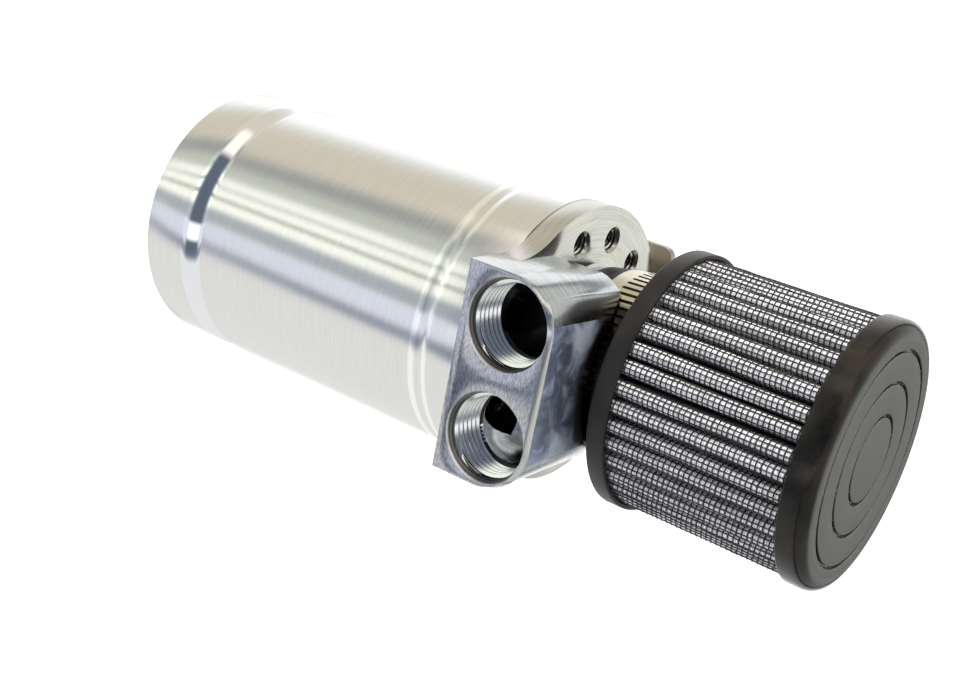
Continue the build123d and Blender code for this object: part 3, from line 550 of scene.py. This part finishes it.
bevel.width, bevel.segments = head["edge"] * mm, head["edgeSteps"]
bevel.limit_method, bevel.angle_limit = "ANGLE", radians(head["edgeAngle"])
bpy.context.view_layer.update()
headMesh = bpy.data.meshes.new_from_object(blank.evaluated_get(bpy.context.evaluated_depsgraph_get()))
blank.modifiers.remove(bevel)
bpy.data.objects.remove(blank)
closeMesh(headMesh, sharp=32)
headFinishes = {
    "spigot": bodyMetal, "disc": discMetal, "portFace": faceMetal, "blockSide": sideMetal, "portWall": boreMetal,
    "drilling": drillingShadeMetal, "blockTop": topMetal, "cone": coneMetal, "rim": rimMetal,
}


def headFinish(centre, normal):  # the finish of a face at that place, in millimetres
    fromPort = (abs(abs(centre.x) - head["portX"]) ** 2 + (centre.z - head["portZ"]) ** 2) ** 0.5
    fromBall = Vector((centre.x - head["portX"], centre.y - head["ballY"], centre.z - head["portZ"])).length
    onBlock = centre.y < zones["blockEnd"]
    if centre.z < zones["rimFoot"]:
        return "spigot"
    if fromPort < head["portRadius"] and head["portFace"] + 0.15 < centre.y < zones["portEnd"]:
        if centre.y < head["portFace"] + head["seat"]:
            return "cone"
        return "portWall" if abs(fromBall - head["ballRadius"]) < 0.3 else "drilling"
    if centre.z < head["discTop"] - zones["holesTop"] and abs(normal.z) < 0.5 and centre.xy.length < zones["holesReach"]:
        return "drilling"
    if abs(centre.z - head["discTop"]) < 0.3 and abs(normal.z) > 0.8:
        return "disc"
    if centre.y < head["portFace"] + 0.2:
        return "portFace"
    if onBlock and centre.z > head["blockTop"] - 0.4:
        return "blockTop"
    if onBlock and abs(centre.x) > head["blockHalf"] - zones["sideDeep"] and centre.z > head["discTop"]:
        return "blockSide"
    return "disc" if centre.z > head["discTop"] else "rim"


placePiece("headBillet", headMesh, headFinishes.values(), "can", ["head"])
finishOrder = list(headFinishes)
for polygon in headMesh.polygons:
    polygon.material_index = finishOrder.index(headFinish(polygon.center / mm, polygon.normal))
print("head made:", len(headMesh.polygons), "faces")

# Threads: rolled out as ridges that stand in from the walls of the ports and tapped holes
portThread = {"wall": 11.12, "crest": 10.3, "pitch": 1.814, "turns": 5.9, "start": 2.9, "steps": 84}
holeThread = {
    "wall": 3.02, "crest": 2.58, "pitch": 1.0, "turns": 8.2, "start": 1.1, "steps": 36,
    "circle": 30.7, "angles": (-15, 15, 45, 135, 165, 195),
}


def threadRidge(thread, place):  # a ridge of four corners, which runs out over a fifth of a turn at both ends
    points, faces = [], []
    count, runOut = ceil(thread["turns"] * thread["steps"]), thread["steps"] / 5
    for k in range(count + 1):
        angle = tau * k / thread["steps"]
        rise = thread["start"] + thread["pitch"] * k / thread["steps"]
        run = min(k, count - k, runOut) / runOut
        crest = thread["wall"] - (thread["wall"] - thread["crest"]) * run - 0.01
        for radius, share in ((thread["wall"], -0.36), (crest, -0.07), (crest, 0.07), (thread["wall"], 0.36)):
            points.append(place @ Vector((radius * cos(angle), radius * sin(angle), rise + share * thread["pitch"])))
    for a in range(0, 4 * count, 4):
        for j in range(4):
            n = (j + 1) % 4
            faces.append((a + j, a + n, a + 4 + n, a + 4 + j))
    faces += [(0, 1, 2, 3), (4 * count + 3, 4 * count + 2, 4 * count + 1, 4 * count)]
    return points, faces


def ridgePiece(name, thread, places, material):
    points, faces = [], []
    for place in places:
        morePoints, moreFaces = threadRidge(thread, place)
        faces += [[index + len(points) for index in face] for face in moreFaces]
        points += morePoints
    placePiece(name, closeMesh(meshOf(name, points, faces), sharp=40), [material], "can")


inwards = Matrix.Rotation(radians(-90), 4, "X")
mouths = [Matrix.Translation((x, head["portFace"], head["portZ"])) @ inwards for x in (-head["portX"], head["portX"])]
ridgePiece("portThreads", portThread, mouths, boreMetal)
downwards = Matrix.Rotation(radians(180), 4, "X")
turns = [radians(angle) for angle in holeThread["angles"]]
circle, level = holeThread["circle"], head["discTop"]
holes = [Matrix.Translation((circle * cos(turn), circle * sin(turn), level)) @ downwards for turn in turns]
ridgePiece("tappedThreads", holeThread, holes, boreMetal)
print("threads cut")

# Filter foot: collar on the neck and ring under the pleats, in rubber that is matt with the mould's grain
foot = {
    "bore": 22.25, "collar": 25.05, "collarLip": 24.0, "collarFoot": 136.0, "taper": 5.5,
    "ring": 35.9, "ringFoot": 159.5, "ringTop": 165.0, "channelOut": 34.75, "channelIn": 22.45, "seat": 162.0,
    "lip": 19.85, "lipFoot": 158.3, "segments": 224,
}
footRubber = mouldedRubber("filterRubber", "#0e0e0e", "#1b1917", 0.4, 0.35, 0.02)[0]
profile = easedLoop([
    (foot["bore"], foot["collarFoot"], 0.2), (foot["collarLip"], foot["collarFoot"], 0.8),
    (foot["collar"], foot["collarFoot"] + foot["taper"], 3.0), (foot["collar"], foot["ringFoot"], 0.3),
    (foot["ring"], foot["ringFoot"], 0.8), (foot["ring"], foot["ringTop"], 0.45), (foot["channelOut"], foot["ringTop"], 0.2),
    (foot["channelOut"], foot["seat"], 0), (foot["channelIn"], foot["seat"], 0), (foot["channelIn"], foot["ringTop"], 0.3),
    (foot["lip"], foot["ringTop"], 0.4), (foot["lip"], foot["lipFoot"], 0.3), (foot["bore"], foot["lipFoot"], 0),
], steps=4)
footMesh = turnedMesh("filterFoot", profile, foot["segments"])
placePiece("filterFoot", footMesh, [footRubber], "filter", ["filter_base"])

# Filter cap: a thick rubber lid with three pressed rings
cap = {
    "top": 220.0, "foot": 212.5, "radius": 35.7, "edge": 3.2, "rim": 0.5, "segments": 224,
    "channelIn": 22.45, "channelOut": 34.75, "seat": 215.5,
    "rings": (28.5, 20.2, 11.7), "ringWidth": 1.0, "ringDepth": 0.9, "wornEdge": (31.6, 30.4),
    "flash": 150, "keep": 0.3, "crumb": (0.1, 0.29), "scatter": 0.5, "seed": 5,
}

# Cap rubber: glossy black skirt, and a face rubbed grey between its rings
capRubber, tree, shader = mouldedRubber("capRubber", "#080808", "#1f1b17", 0.16, 0.5, 0.015)
shader.inputs["Specular IOR Level"].default_value = 0.22
place, axes = objectAxes(tree)
scuffs = {"Scale": 0.3, "Detail": 6.0, "Roughness": 0.7}  # about 3 mm wide
worn = addNode(tree, "ShaderNodeTexNoise", scuffs, {"Vector": place}).outputs[0]
worn = addNode(tree, "ShaderNodeMapRange", {"From Min": 0.2, "From Max": 0.6, "To Min": 0.6}, {0: worn}).outputs[0]
middle = addNode(tree, "ShaderNodeVectorMath", {"operation": "DISTANCE", 1: (0, 0, cap["top"])}, {0: place}).outputs["Value"]
edges = {"interpolation_type": "SMOOTHSTEP", "From Min": cap["wornEdge"][0], "From Max": cap["wornEdge"][1]}
face = addNode(tree, "ShaderNodeMapRange", edges, {0: middle}).outputs[0]
edges = {"From Min": cap["top"] - 0.5, "From Max": cap["top"] - 0.1}
raised = addNode(tree, "ShaderNodeMapRange", edges, {0: axes["Z"]}).outputs[0]
face = addNode(tree, "ShaderNodeMath", {"operation": "MULTIPLY"}, {0: face, 1: raised}).outputs[0]
rubbed = addNode(tree, "ShaderNodeMath", {"operation": "MULTIPLY"}, {0: face, 1: worn}).outputs[0]
vary(shader, rubbed, {"Base Color": (None, "#565957"), "Roughness": (None, 0.62)})

corners = [(0, cap["top"], 0)]
for radius in sorted(cap["rings"]):
    near, far, deep = radius - cap["ringWidth"] / 2, radius + cap["ringWidth"] / 2, cap["top"] - cap["ringDepth"]
    corners += [(near, cap["top"], 0.14), (near, deep, 0.1), (far, deep, 0.1), (far, cap["top"], 0.14)]
corners += [
    (cap["radius"], cap["top"], cap["edge"]), (cap["radius"], cap["foot"], cap["rim"]),
    (cap["channelOut"], cap["foot"], 0.1), (cap["channelOut"], cap["seat"], 0),
    (cap["channelIn"], cap["seat"], 0), (cap["channelIn"], cap["foot"], 0.2), (0, cap["foot"], 0),
]
capMesh = turnedMesh("filterCap", easedLoop(corners, steps=6), cap["segments"])
placePiece("filterCap", capMesh, [capRubber], "filter", ["filter_cap"])

# Mould flash: crumbs of rubber left along the cap's rings
smallest, largest = cap["crumb"]
flashTree, flashIn = startTree("mouldFlash", {
    "Crumbs": ("NodeSocketInt", cap["flash"]), "Keep": ("NodeSocketFloat", cap["keep"]),
    "Smallest": ("NodeSocketFloat", smallest * mm), "Largest": ("NodeSocketFloat", largest * mm),
    "Seed": ("NodeSocketInt", cap["seed"]),
})
curve = addNode(flashTree, "GeometryNodeMeshToCurve", links={0: flashIn["Geometry"]}).outputs[0]
spots = addNode(flashTree, "GeometryNodeCurveToPoints", links={"Curve": curve, "Count": flashIn["Crumbs"]}).outputs[0]
chosen = {"Probability": flashIn["Keep"], "Seed": flashIn["Seed"]}
lucky = addNode(flashTree, "FunctionNodeRandomValue", {"data_type": "BOOLEAN"}, chosen).outputs[3]
far = cap["scatter"] * mm
scatter = {"data_type": "FLOAT_VECTOR", 0: (-far, -far, -far / 5), 1: (far, far, 0.0)}
nudge = addNode(flashTree, "FunctionNodeRandomValue", scatter, {"Seed": flashIn["Seed"]}).outputs[0]
moved = addNode(flashTree, "GeometryNodeSetPosition", links={0: spots, "Offset": nudge}).outputs[0]
limits = {2: flashIn["Smallest"], 3: flashIn["Largest"], "Seed": flashIn["Seed"]}
crumbSize = addNode(flashTree, "FunctionNodeRandomValue", {"data_type": "FLOAT"}, limits).outputs[1]
crumb = addNode(flashTree, "GeometryNodeMeshIcoSphere", {"Radius": 1.0, "Subdivisions": 1}).outputs[0]
parts = {"Points": moved, "Selection": lucky, "Instance": crumb, "Scale": crumbSize}
scattered = addNode(flashTree, "GeometryNodeInstanceOnPoints", links=parts).outputs[0]
endTree(flashTree, scattered, capRubber)
points, edges, steps, level = [], [], 48, (cap["top"] - 0.3) * mm
for radius in cap["rings"]:
    edges += [(len(points) + k, len(points) + (k + 1) % steps) for k in range(steps)]
    turns = [tau * k / steps for k in range(steps)]
    points += [(radius * cos(turn) * mm, radius * sin(turn) * mm, level) for turn in turns]
ringLine = bpy.data.meshes.new("ringLine")
ringLine.from_pydata(points, edges, [])
flash = growMesh("mouldFlash", ringLine, flashTree, {
    "Crumbs": cap["flash"], "Keep": cap["keep"], "Smallest": smallest * mm, "Largest": largest * mm, "Seed": cap["seed"],
})
placePiece("mouldFlash", closeMesh(flash, sharp=80), [capRubber], "filter")
print("filter foot and cap made, with", len(flash.polygons) // 20, "crumbs of flash")

# Pleats: one gauze sheet folded forty times, each fold a little different
pleats = {
    "count": 40, "crest": 34.5, "crestHalf": 1.75, "root": 24.5, "rootHalf": 0.55, "sheet": 1.2,
    "bottom": 162.15, "top": 215.35, "rows": 22, "seed": 11, "wander": 0.32, "shortest": 0.35, "widest": 0.12,
    "wave": 0.16, "wavesRound": 7, "waveTwist": 5, "waveRadius": 34,
}

# Cotton gauze, oiled: off-white weave of 0.6 mm threads
gauze, tree, shader = startMaterial("cottonGauze", {"Roughness": 0.85, "Sheen Weight": 0.3, "Sheen Roughness": 0.5})
place, axes = objectAxes(tree)
threadPitch = 0.6
turn = addNode(tree, "ShaderNodeMath", {"operation": "MULTIPLY", 1: tau / threadPitch}, {0: axes["Z"]}).outputs[0]
threads = addNode(tree, "ShaderNodeMath", {"operation": "SINE"}, {0: turn}).outputs[0]
weave = addNode(tree, "ShaderNodeTexNoise", {"Scale": 1.8, "Detail": 4.0, "Roughness": 0.7}, {"Vector": place}).outputs[0]
woven = addNode(tree, "ShaderNodeMath", {"operation": "MULTIPLY_ADD", 1: 0.12}, {0: threads, 2: weave}).outputs[0]
lit = addNode(tree, "ShaderNodeMapRange", {"From Min": 0.25, "From Max": 0.75}, {0: woven}).outputs[0]
vary(shader, lit, {"Base Color": ("#74747c", "#dcdce2")})
relief = {"Strength": 0.6, "Distance": 0.1 * mm}
feed(shader, "Normal", addNode(tree, "ShaderNodeBump", relief, {"Height": woven}).outputs[0])

chance = random.Random(pleats["seed"])
folds = [(chance.uniform(-1, 1), chance.uniform(0, 1), chance.uniform(-1, 1)) for _ in range(pleats["count"])]
pleatPitch = tau / pleats["count"]


def foldArc(turn, out, radius, reach, steps):  # an arc about a point so far out at that turn, from -reach to reach degrees
    arc = []
    for k in range(steps + 1):
        angle = radians(-reach + 2 * reach * k / steps)
        far, aside = out + radius * cos(angle), abs(radius) * sin(angle)
        arc.append((far * cos(turn) - aside * sin(turn), far * sin(turn) + aside * cos(turn)))
    return arc


def crestArc(fold, crestHalf):
    swing, short, spread = folds[fold % pleats["count"]]
    turn = fold * pleatPitch + swing * pleats["wander"] / pleats["crest"]
    out = pleats["crest"] - pleats["crestHalf"] - short * pleats["shortest"]
    return foldArc(turn, out, crestHalf + spread * pleats["widest"], 96, 9)


def lean(first, last, shares):  # points on the straight side of a fold
    return [tuple(Vector(first).lerp(Vector(last), share)) for share in shares]


def pleatLoop(crestHalf, rootHalf):  # the folded sheet's outline: round crests and round roots
    loop = []
    for fold in range(pleats["count"]):
        crest, following = crestArc(fold, crestHalf), crestArc(fold + 1, crestHalf)
        root = foldArc((fold + 0.5) * pleatPitch, pleats["root"] + pleats["rootHalf"], -rootHalf, 80, 3)
        loop += crest + lean(crest[-1], root[0], (0.35, 0.7)) + root + lean(root[-1], following[0], (0.3, 0.65))
    return loop


outside = pleatLoop(pleats["crestHalf"], pleats["rootHalf"])
inside = pleatLoop(pleats["crestHalf"] - pleats["sheet"], pleats["rootHalf"] + pleats["sheet"])


def waved(x, y, z):  # the folds lean a little to and fro between foot and cap
    turn = atan2(y, x)
    share = (z - pleats["bottom"]) / (pleats["top"] - pleats["bottom"])
    swing = sin(pleats["wavesRound"] * turn + pleats["waveTwist"] * share)
    shift = pleats["wave"] * sin(pi * share) * swing / pleats["waveRadius"]
    return (x * cos(shift) - y * sin(shift), x * sin(shift) + y * cos(shift), z)


points, faces = [], []
size = len(outside)
for row in range(pleats["rows"] + 1):
    z = pleats["bottom"] + (pleats["top"] - pleats["bottom"]) * row / pleats["rows"]
    points += [waved(x, y, z) for x, y in outside] + [waved(x, y, z) for x, y in inside]
for row in range(pleats["rows"]):
    a, b = 2 * size * row, 2 * size * (row + 1)
    for k in range(size):
        n = (k + 1) % size
        faces.append((a + k, a + n, b + n, b + k))
        faces.append((a + size + n, a + size + k, b + size + k, b + size + n))
last = 2 * size * pleats["rows"]
for k in range(size):
    n = (k + 1) % size
    faces.append((k, size + k, size + n, n))
    faces.append((last + k, last + n, last + size + n, last + size + k))
gauzeMesh = closeMesh(meshOf("gauzePleats", points, faces), sharp=60)
placePiece("gauzePleats", gauzeMesh, [gauze], "filter", ["pleat_pack"])
print("pleats folded:", len(faces), "faces")

# Wire mesh over the pleats: rings and uprights that follow the folds
wires = {
    "radius": 0.19, "pitch": 1.46, "bottom": 165.2, "top": 212.4, "uprights": 668, "joints": 14, "sides": 4,
    "lift": 0.16,
    "wobble": 0.5, "rumple": 300.0,  # the rumples are about 3 mm apart
}

# Epoxy-coated steel wire: black, a little glossy
meshWire, tree, shader = startMaterial("coatedWire", {"Base Color": colour("#1c1d1e"), "Roughness": 0.38, "IOR": 1.5})
place = objectAxes(tree)[0]
chips = addNode(tree, "ShaderNodeTexNoise", {"Scale": 0.8, "Detail": 3.0}, {"Vector": place}).outputs[0]
vary(shader, chips, {"Base Color": ("#151617", "#303132"), "Roughness": (0.3, 0.5)})

loop = []
for k in range(size):
    before, here, after = Vector(outside[k - 1]), Vector(outside[k]), Vector(outside[(k + 1) % size])
    way = (after - before).normalized()
    loop.append((*(here + Vector((way.y, -way.x)) * wires["lift"]), 0))
loopMesh = bpy.data.meshes.new("wireLoop")
loopMesh.from_pydata([[c * mm for c in point] for point in loop], [(k, (k + 1) % size) for k in range(size)], [])
wireSizes = {"Wire Radius": ("NodeSocketFloat", wires["radius"] * mm), "Wobble": ("NodeSocketFloat", wires["wobble"] * mm)}


def drawWires(tree, inputs, lines, offset):  # rumpled wires along the lines
    loose = addNode(tree, "GeometryNodeSetPosition", links={0: lines, "Offset": offset}).outputs[0]
    sides = {"Resolution": wires["sides"]}
    section = addNode(tree, "GeometryNodeCurvePrimitiveCircle", sides, {"Radius": inputs["Wire Radius"]}).outputs[0]
    along = {"Curve": loose, "Profile Curve": section}
    endTree(tree, addNode(tree, "GeometryNodeCurveToMesh", {"Fill Caps": True}, along).outputs[0], meshWire)


ringTree, ringIn = startTree("wireRings", {
    "Rings": ("NodeSocketInt", 33), "Spacing": ("NodeSocketFloat", wires["pitch"] * mm),
    "Start": ("NodeSocketFloat", 0.0), **wireSizes,
})
curve = addNode(ringTree, "GeometryNodeMeshToCurve", links={0: ringIn["Geometry"]}).outputs[0]
step = addNode(ringTree, "ShaderNodeCombineXYZ", links={2: ringIn["Spacing"]}).outputs[0]
begin = addNode(ringTree, "ShaderNodeCombineXYZ", links={2: ringIn["Start"]}).outputs[0]
spacing = {"Count": ringIn["Rings"], "Start Location": begin, "Offset": step}
levels = addNode(ringTree, "GeometryNodeMeshLine", links=spacing).outputs[0]
stack = addNode(ringTree, "GeometryNodeInstanceOnPoints", links={"Points": levels, "Instance": curve}).outputs[0]
lines = addNode(ringTree, "GeometryNodeRealizeInstances", links={0: stack}).outputs[0]
rumple = addNode(ringTree, "ShaderNodeTexNoise", {"Scale": wires["rumple"], "Detail": 1.0}).outputs[0]
about = addNode(ringTree, "ShaderNodeMath", {"operation": "SUBTRACT", 1: 0.5}, {0: rumple}).outputs[0]
swing = addNode(ringTree, "ShaderNodeMath", {"operation": "MULTIPLY"}, {0: about, 1: ringIn["Wobble"]}).outputs[0]
drawWires(ringTree, ringIn, lines, addNode(ringTree, "ShaderNodeCombineXYZ", links={2: swing}).outputs[0])

uprightTree, uprightIn = startTree("wireUprights", {
    "Wires": ("NodeSocketInt", wires["uprights"]),
    "Bottom": ("NodeSocketFloat", 0.0), "Top": ("NodeSocketFloat", 0.05), **wireSizes,
})
curve = addNode(uprightTree, "GeometryNodeMeshToCurve", links={0: uprightIn["Geometry"]}).outputs[0]
spaced = addNode(uprightTree, "GeometryNodeResampleCurve", links={"Curve": curve, "Count": uprightIn["Wires"]}).outputs[0]
low = addNode(uprightTree, "ShaderNodeCombineXYZ", links={2: uprightIn["Bottom"]}).outputs[0]
high = addNode(uprightTree, "ShaderNodeCombineXYZ", links={2: uprightIn["Top"]}).outputs[0]
stem = addNode(uprightTree, "GeometryNodeCurvePrimitiveLine", links={"Start": low, "End": high}).outputs[0]
stand = addNode(uprightTree, "GeometryNodeInstanceOnPoints", links={"Points": spaced, "Instance": stem}).outputs[0]
lines = addNode(uprightTree, "GeometryNodeRealizeInstances", links={0: stand}).outputs[0]
lines = addNode(uprightTree, "GeometryNodeResampleCurve", {"Count": wires["joints"]}, {"Curve": lines}).outputs[0]
rumple = addNode(uprightTree, "ShaderNodeTexNoise", {"Scale": wires["rumple"], "Detail": 1.0}).outputs["Color"]
about = addNode(uprightTree, "ShaderNodeVectorMath", {"operation": "SUBTRACT", 1: (0.5, 0.5, 0.5)}, {0: rumple}).outputs[0]
sway = {0: about, "Scale": uprightIn["Wobble"]}
swing = addNode(uprightTree, "ShaderNodeVectorMath", {"operation": "SCALE"}, sway).outputs[0]
drawWires(uprightTree, uprightIn, lines, swing)

rings = growMesh("wireRings", loopMesh, ringTree, {
    "Rings": int((wires["top"] - wires["bottom"]) / wires["pitch"]) + 1, "Spacing": wires["pitch"] * mm,
    "Start": wires["bottom"] * mm, "Wire Radius": wires["radius"] * mm,
})
uprights = growMesh("wireUprights", loopMesh, uprightTree, {
    "Wires": wires["uprights"], "Bottom": (wires["bottom"] - 1.0) * mm, "Top": (wires["top"] + 1.0) * mm,
    "Wire Radius": wires["radius"] * mm,
})
for name, mesh in (("meshRings", rings), ("meshUprights", uprights)):
    placePiece(name, closeMesh(mesh, sharp=80), [meshWire], "filter")
    print(name, len(mesh.polygons), "faces")

# Clamp band: slotted strip, each slot leaning to the worm
strap = {
    "inner": 25.1, "outer": 25.8, "foot": 144.0, "width": 14.2, "slots": 30, "pitch": 5.7, "start": 107.1,
    "length": 6.4, "slot": 1.1, "lean": 4.5, "blanks": 33, "shadeBehindBlock": (-90.0, 48.0, 8.0),
    "flatRadius": 30,  # lays a link out flat in about its true shape, to be filled
}

# Stainless strip, cold rolled: warm satin with faint lines along the strip, and painted shade that darkens it behind
# the block
stripMetal, tree, shader, marks, axes = turnedMetal("rolledStainless", 0.4, 0.4, 18.0)
shadeBehindBlock = band(tree, compassOf(tree, axes), *strap["shadeBehindBlock"])
vary(shader, marks, {"Roughness": (0.13, 0.2), "Base Color": ("#c9c1ac", "#dbd4c2")})
# painted shade: the strip's colour turns dark behind the block, where it lies in shade
vary(shader, shadeBehindBlock, {"Base Color": (None, "#3a3631")})
relief = {"Strength": 0.4, "Distance": 0.01 * mm}
feed(shader, "Normal", addNode(tree, "ShaderNodeBump", relief, {"Height": marks}).outputs[0])


def strapLink(name, span, slotted):  # one link of the strip, open at both ends, lying about angle 0
    half, low, high = radians(span) / 2, strap["foot"], strap["foot"] + strap["width"]
    outline = [(half * (k / 3 - 1), low) for k in range(7)] + [(half * (k / 3 - 1), high) for k in range(6, -1, -1)]
    slot = []
    if slotted:
        slope, reach, end = radians(strap["lean"]), strap["length"] / 2 - strap["slot"] / 2, strap["slot"] / 2
        middle = (low + high) / 2
        for sign in (1, -1):
            for k in range(7):
                angle = radians(180 * k / 6) + (0 if sign > 0 else pi)
                u, v = end * cos(angle), sign * reach + end * sin(angle)
                slot.append(((u * cos(slope) - v * sin(slope)) / strap["outer"], (u * sin(slope) + v * cos(slope)) + middle))
    flat = outline + slot
    shapes = [[Vector((u * strap["flatRadius"], v, 0)) for u, v in shape] for shape in (outline, slot) if shape]
    cells = tessellate_polygon(shapes)
    total = len(flat)
    points = [(radius * cos(u), radius * sin(u), v) for radius in (strap["outer"], strap["inner"]) for u, v in flat]
    faces = [tuple(cell) for cell in cells] + [tuple(total + c for c in reversed(cell)) for cell in cells]
    edges = [(k, k + 1) for k in range(6)] + [(k, k + 1) for k in range(7, 13)]
    edges += [(len(outline) + k, len(outline) + (k + 1) % len(slot)) for k in range(len(slot))]
    faces += [(a, b, total + b, total + a) for a, b in edges]
    return meshOf(name, points, faces)


chainTree, chainIn = startTree("strapLinks", {
    "Links": ("NodeSocketInt", 30), "Pitch": ("NodeSocketFloat", 0.1), "Start": ("NodeSocketFloat", 0.0),
})
spots = addNode(chainTree, "GeometryNodeMeshLine", {"Offset": (0, 0, 0)}, {"Count": chainIn["Links"]}).outputs[0]
index = addNode(chainTree, "GeometryNodeInputIndex").outputs[0]
angles = {0: index, 1: chainIn["Pitch"], 2: chainIn["Start"]}
swing = addNode(chainTree, "ShaderNodeMath", {"operation": "MULTIPLY_ADD"}, angles).outputs[0]
aim = addNode(chainTree, "ShaderNodeCombineXYZ", links={2: swing}).outputs[0]
parts = {"Points": spots, "Instance": chainIn["Geometry"], "Rotation": aim}
chain = addNode(chainTree, "GeometryNodeInstanceOnPoints", links=parts).outputs[0]
endTree(chainTree, chain, stripMetal)
blankSpan = (360 - strap["slots"] * strap["pitch"]) / strap["blanks"]
blankStart = strap["start"] + (strap["slots"] - 0.5) * strap["pitch"] + blankSpan / 2
slottedPart = growMesh("slottedPart", strapLink("slottedLink", strap["pitch"], True), chainTree, {
    "Links": strap["slots"], "Pitch": radians(strap["pitch"]), "Start": radians(strap["start"]),
})
blankPart = growMesh("blankPart", strapLink("blankLink", blankSpan, False), chainTree, {
    "Links": strap["blanks"], "Pitch": radians(blankSpan), "Start": radians(blankStart),
})
work = bmesh.new()
work.from_mesh(slottedPart)
work.from_mesh(blankPart)
bmesh.ops.remove_doubles(work, verts=work.verts, dist=2e-6)
strapMesh = bpy.data.meshes.new("clampStrap")
work.to_mesh(strapMesh)
work.free()
placePiece("clampStrap", closeMesh(strapMesh, sharp=35), [stripMetal], "filter", ["clamp_band"])
print("clamp strap made:", len(strapMesh.polygons), "faces")

# Nodes kept from the frame, each in its own finish
kept = {
    "base_plug": plugMetal, "base_o_ring": sealRubber, "drain_plug": zincMetal, "drain_washer": washerMetal,
    "head_o_ring": sealRubber, "mesh_pad": knitMetal, "baffle_plate": washerMetal, "baffle_spacers": washerMetal,
    "baffle_screws": zincMetal, "bracket": bracketMetal, "bracket_washers": zincMetal, "bracket_screws": zincMetal,
    "clamp_housing": stripMetal, "clamp_screw": zincMetal,
}
for node, material in kept.items():
    dressNode(node, material)
print("kept nodes dressed")
